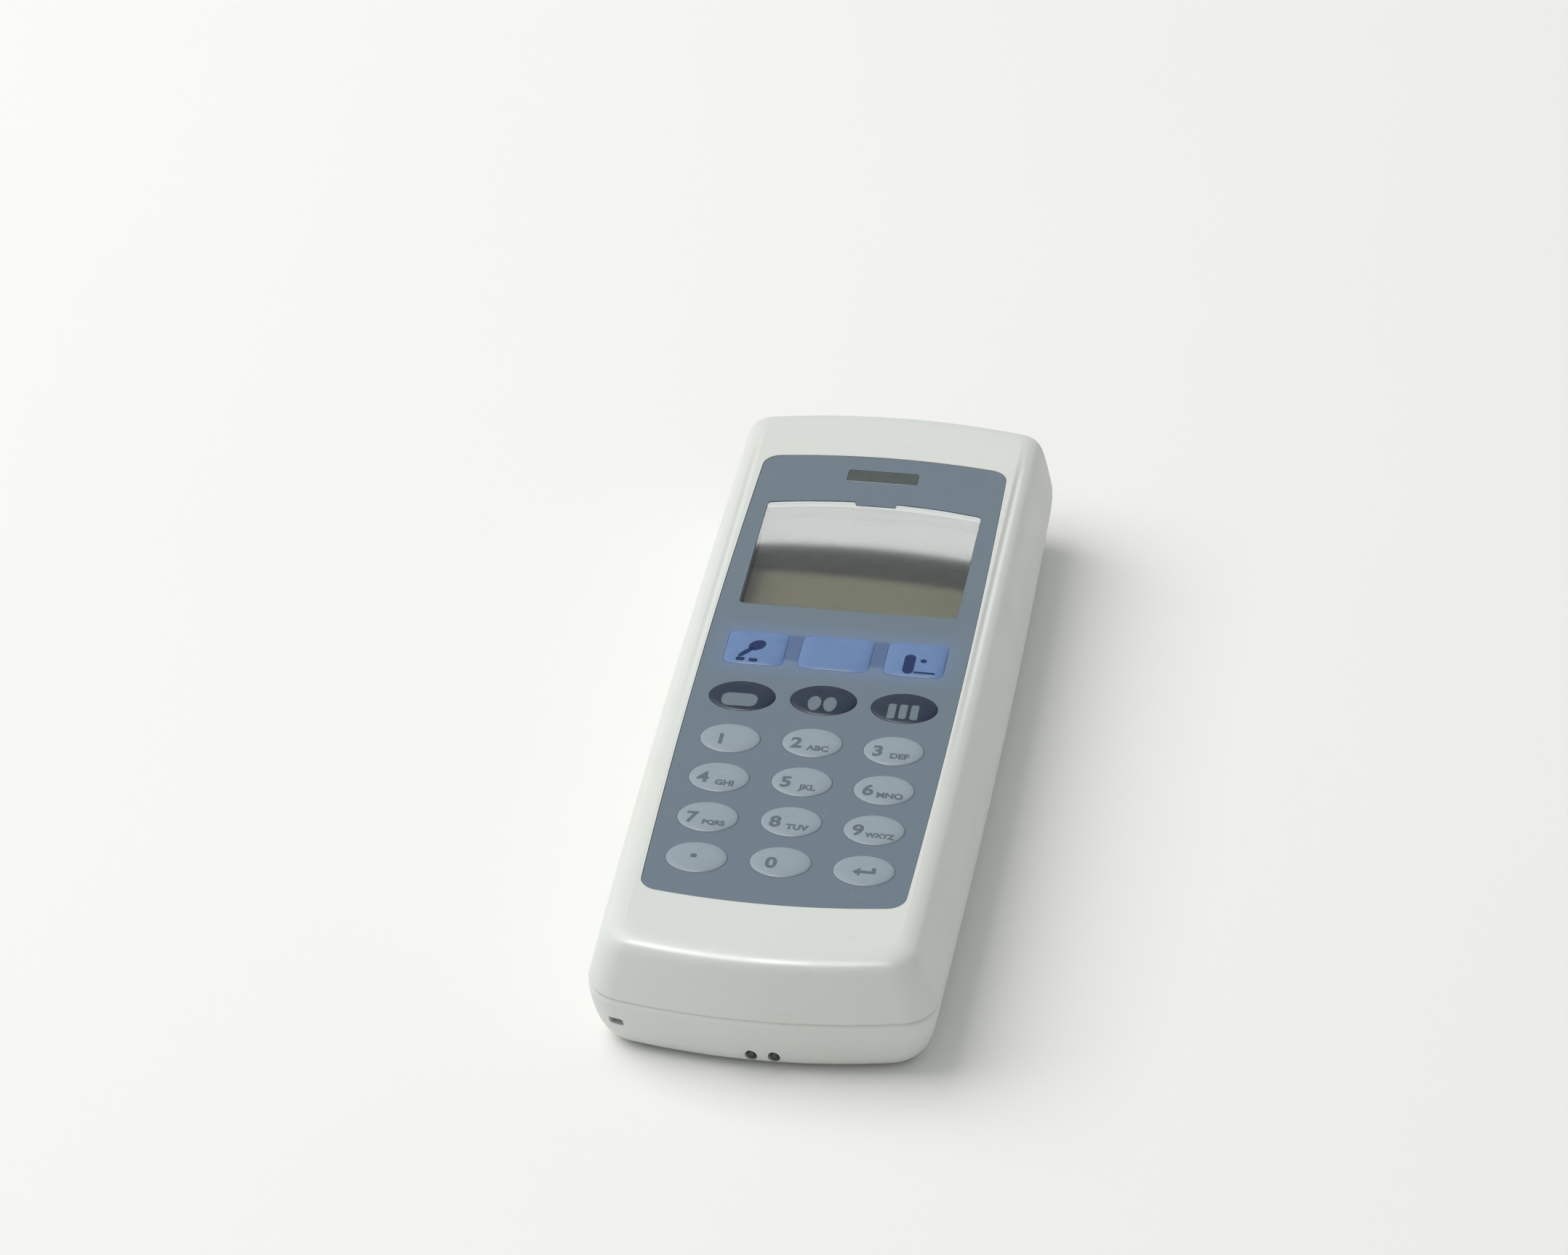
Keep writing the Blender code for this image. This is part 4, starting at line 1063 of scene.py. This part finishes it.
# ---- Finishes for the CAD nodes that stay ----
def make_finishes():
    return {
        "shell": shell_finish("moulded_shell", (0.64, 0.665, 0.64)),
        "panel": panel_finish(),
        "light_key": key_finish("pale_keycap", (0.265, 0.320, 0.360), (0.305, 0.355, 0.390)),
        "dark_key": key_finish("navy_keycap", (0.006, 0.018, 0.040), (0.011, 0.025, 0.048), 0.44),
        "blue_key": blue_key_finish(),
        "ink_grey": ink_finish("ink_grey", (0.11, 0.145, 0.165)),
        "ink_pale": ink_finish("ink_pale", (0.145, 0.185, 0.210)),
        "ink_blue": ink_finish("ink_blue", (0.011, 0.028, 0.100)),
        "lens": lens_finish(),
        "dark_lens": smoke_finish(),
        "scan_red": scan_finish(),
        "lcd": lcd_finish(),
        "foam": dull_finish("gasket_foam", (0.035, 0.035, 0.033), 0.85, 1400),
        "black": dull_finish("black_plastic", (0.018, 0.018, 0.018)),
        "silicone": dull_finish("grey_silicone", (0.16, 0.17, 0.18), 0.7, 1800),
        "board": board_finish(),
        "steel": metal_finish("plated_steel", (0.62, 0.62, 0.60), 0.30),
        "nickel": metal_finish("dull_nickel", (0.13, 0.13, 0.12), 0.45),
        "cell": cell_finish(),
        "lamp": dull_finish("lamp_body", (0.70, 0.72, 0.70), 0.3, 900),
    }


def dress_cad_nodes(finishes):
    """Give every carried-over node the procedural finish of its slot."""
    slots = {row["node"]: row["material_slot"] for row in frame["record"]["subparts"]}
    for node, item in frame["nodes"].items():
        item.data.materials.clear()
        item.data.materials.append(finishes[slots[node]])


# ---- Stage ----
def make_floor():
    """The table. It goes down with the battery cover, so a cover taken off lies on it in plain view."""
    bm = bmesh.new()
    bmesh.ops.create_grid(bm, x_segments=1, y_segments=1, size=FLOOR_REACH)
    floor = finish_mesh("floor", bm, floor_finish())
    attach(floor, "battery_door")


def area_light(name, place, size, power, color=(1, 1, 1)):
    light = bpy.data.lights.new(name, "AREA")
    light.shape = "RECTANGLE"
    light.size, light.size_y = size
    light.energy = power
    light.color = color
    item = add_object(name, light)
    item.location = place
    item.rotation_euler = (-Vector(place)).to_track_quat("-Z", "Y").to_euler()
    return item


def make_lights():
    """A window-like light from the left, a strip that only glints in gloss, and a pale room."""
    area_light("window_light", WINDOW_LIGHT_PLACE, WINDOW_LIGHT_SIZE, WINDOW_LIGHT_POWER, (1.0, 0.99, 0.97))
    glint = area_light("glint_light", GLINT_LIGHT_PLACE, GLINT_LIGHT_SIZE, GLINT_LIGHT_POWER)
    glint.visible_diffuse = False
    world = bpy.data.worlds.new("pale_room")
    world.use_nodes = True
    room = world.node_tree.nodes["Background"]
    room.inputs["Color"].default_value = (0.97, 0.99, 1.0, 1.0)
    room.inputs["Strength"].default_value = ROOM_STRENGTH
    bpy.context.scene.world = world


def make_reflected_window():
    """A bright card beyond the head, seen only mirrored in the far half of the display window."""
    bm = bmesh.new()
    pairs = []
    for step in range(CARD_COLUMNS + 1):
        x = CARD_LEFT + (CARD_RIGHT - CARD_LEFT) * step / CARD_COLUMNS
        top = CARD_TOP + CARD_TOP_CURVE * (x - CARD_MIDDLE) ** 2
        pairs.append([bm.verts.new((x, CARD_Y, height)) for height in (CARD_BOTTOM, top)])
    for (low, high), (next_low, next_high) in zip(pairs, pairs[1:]):
        bm.faces.new((low, next_low, next_high, high))
    glow = bpy.data.materials.new("window_glow")
    glow.use_nodes = True
    shader = glow.node_tree.nodes["Principled BSDF"]
    shader.inputs["Base Color"].default_value = (0, 0, 0, 1)
    shader.inputs["Emission Color"].default_value = (0.97, 1.0, 0.98, 1)
    shader.inputs["Emission Strength"].default_value = CARD_STRENGTH
    card = finish_mesh("reflected_window", bm, glow)
    for kind in ("camera", "diffuse", "shadow", "transmission", "volume_scatter"):
        setattr(card, f"visible_{kind}", False)


def view_axes():
    """The camera's right, up and backward directions."""
    back = Vector((math.sin(CAMERA_AZIMUTH) * math.cos(CAMERA_ELEVATION),
                   -math.cos(CAMERA_AZIMUTH) * math.cos(CAMERA_ELEVATION), math.sin(CAMERA_ELEVATION)))
    level = Vector((math.cos(CAMERA_AZIMUTH), math.sin(CAMERA_AZIMUTH), 0))
    rise = back.cross(level)
    right = level * math.cos(CAMERA_ROLL) + rise * math.sin(CAMERA_ROLL)
    up = rise * math.cos(CAMERA_ROLL) - level * math.sin(CAMERA_ROLL)
    return right, up, back


def make_camera():
    right, up, back = view_axes()
    data = bpy.data.cameras.new("camera")
    data.lens = CAMERA_LENS
    data.sensor_width = CAMERA_SENSOR
    camera = add_object("camera", data)
    place = CAMERA_AIM + back * CAMERA_DISTANCE
    camera.matrix_world = Matrix((
        (right.x, up.x, back.x, place.x),
        (right.y, up.y, back.y, place.y),
        (right.z, up.z, back.z, place.z),
        (0, 0, 0, 1)))
    bpy.context.scene.camera = camera


KEYS = read_keys()
MIDDLE_FUNCTION_KEY = next(key for key in KEYS if key["node"] == "function_key_middle")
FUNCTION_ROW_Y = MIDDLE_FUNCTION_KEY["y"]
STRIP_X = MIDDLE_FUNCTION_KEY["width"] / 2 + 1.35 * MM   # middle of the panel strips beside it


def main():
    finishes = make_finishes()
    dress_cad_nodes(finishes)
    make_upper_shell(finishes["shell"])
    make_lower_shell(finishes["shell"])
    make_cover(finishes["shell"])
    make_screws(finishes["steel"])
    make_panel(finishes["panel"])
    make_indicator(finishes["dark_lens"])
    make_window(finishes["lens"])
    plans = symbol_plans()
    for key in KEYS:
        make_keycap(key, finishes[key_slot(key)])
        if key["node"][-1].isdigit():
            digit_legend(key, finishes["ink_grey"])
        elif key["node"] in plans:
            shapes, ink = plans[key["node"]]
            print_on_key(key, [plan_shapes(shapes)], finishes[ink])
    round_cad_edges("scan_window", SCAN_WINDOW_EDGE)
    make_floor()
    make_lights()
    make_reflected_window()
    make_camera()
    bpy.context.scene.view_settings.view_transform = "Standard"


main()
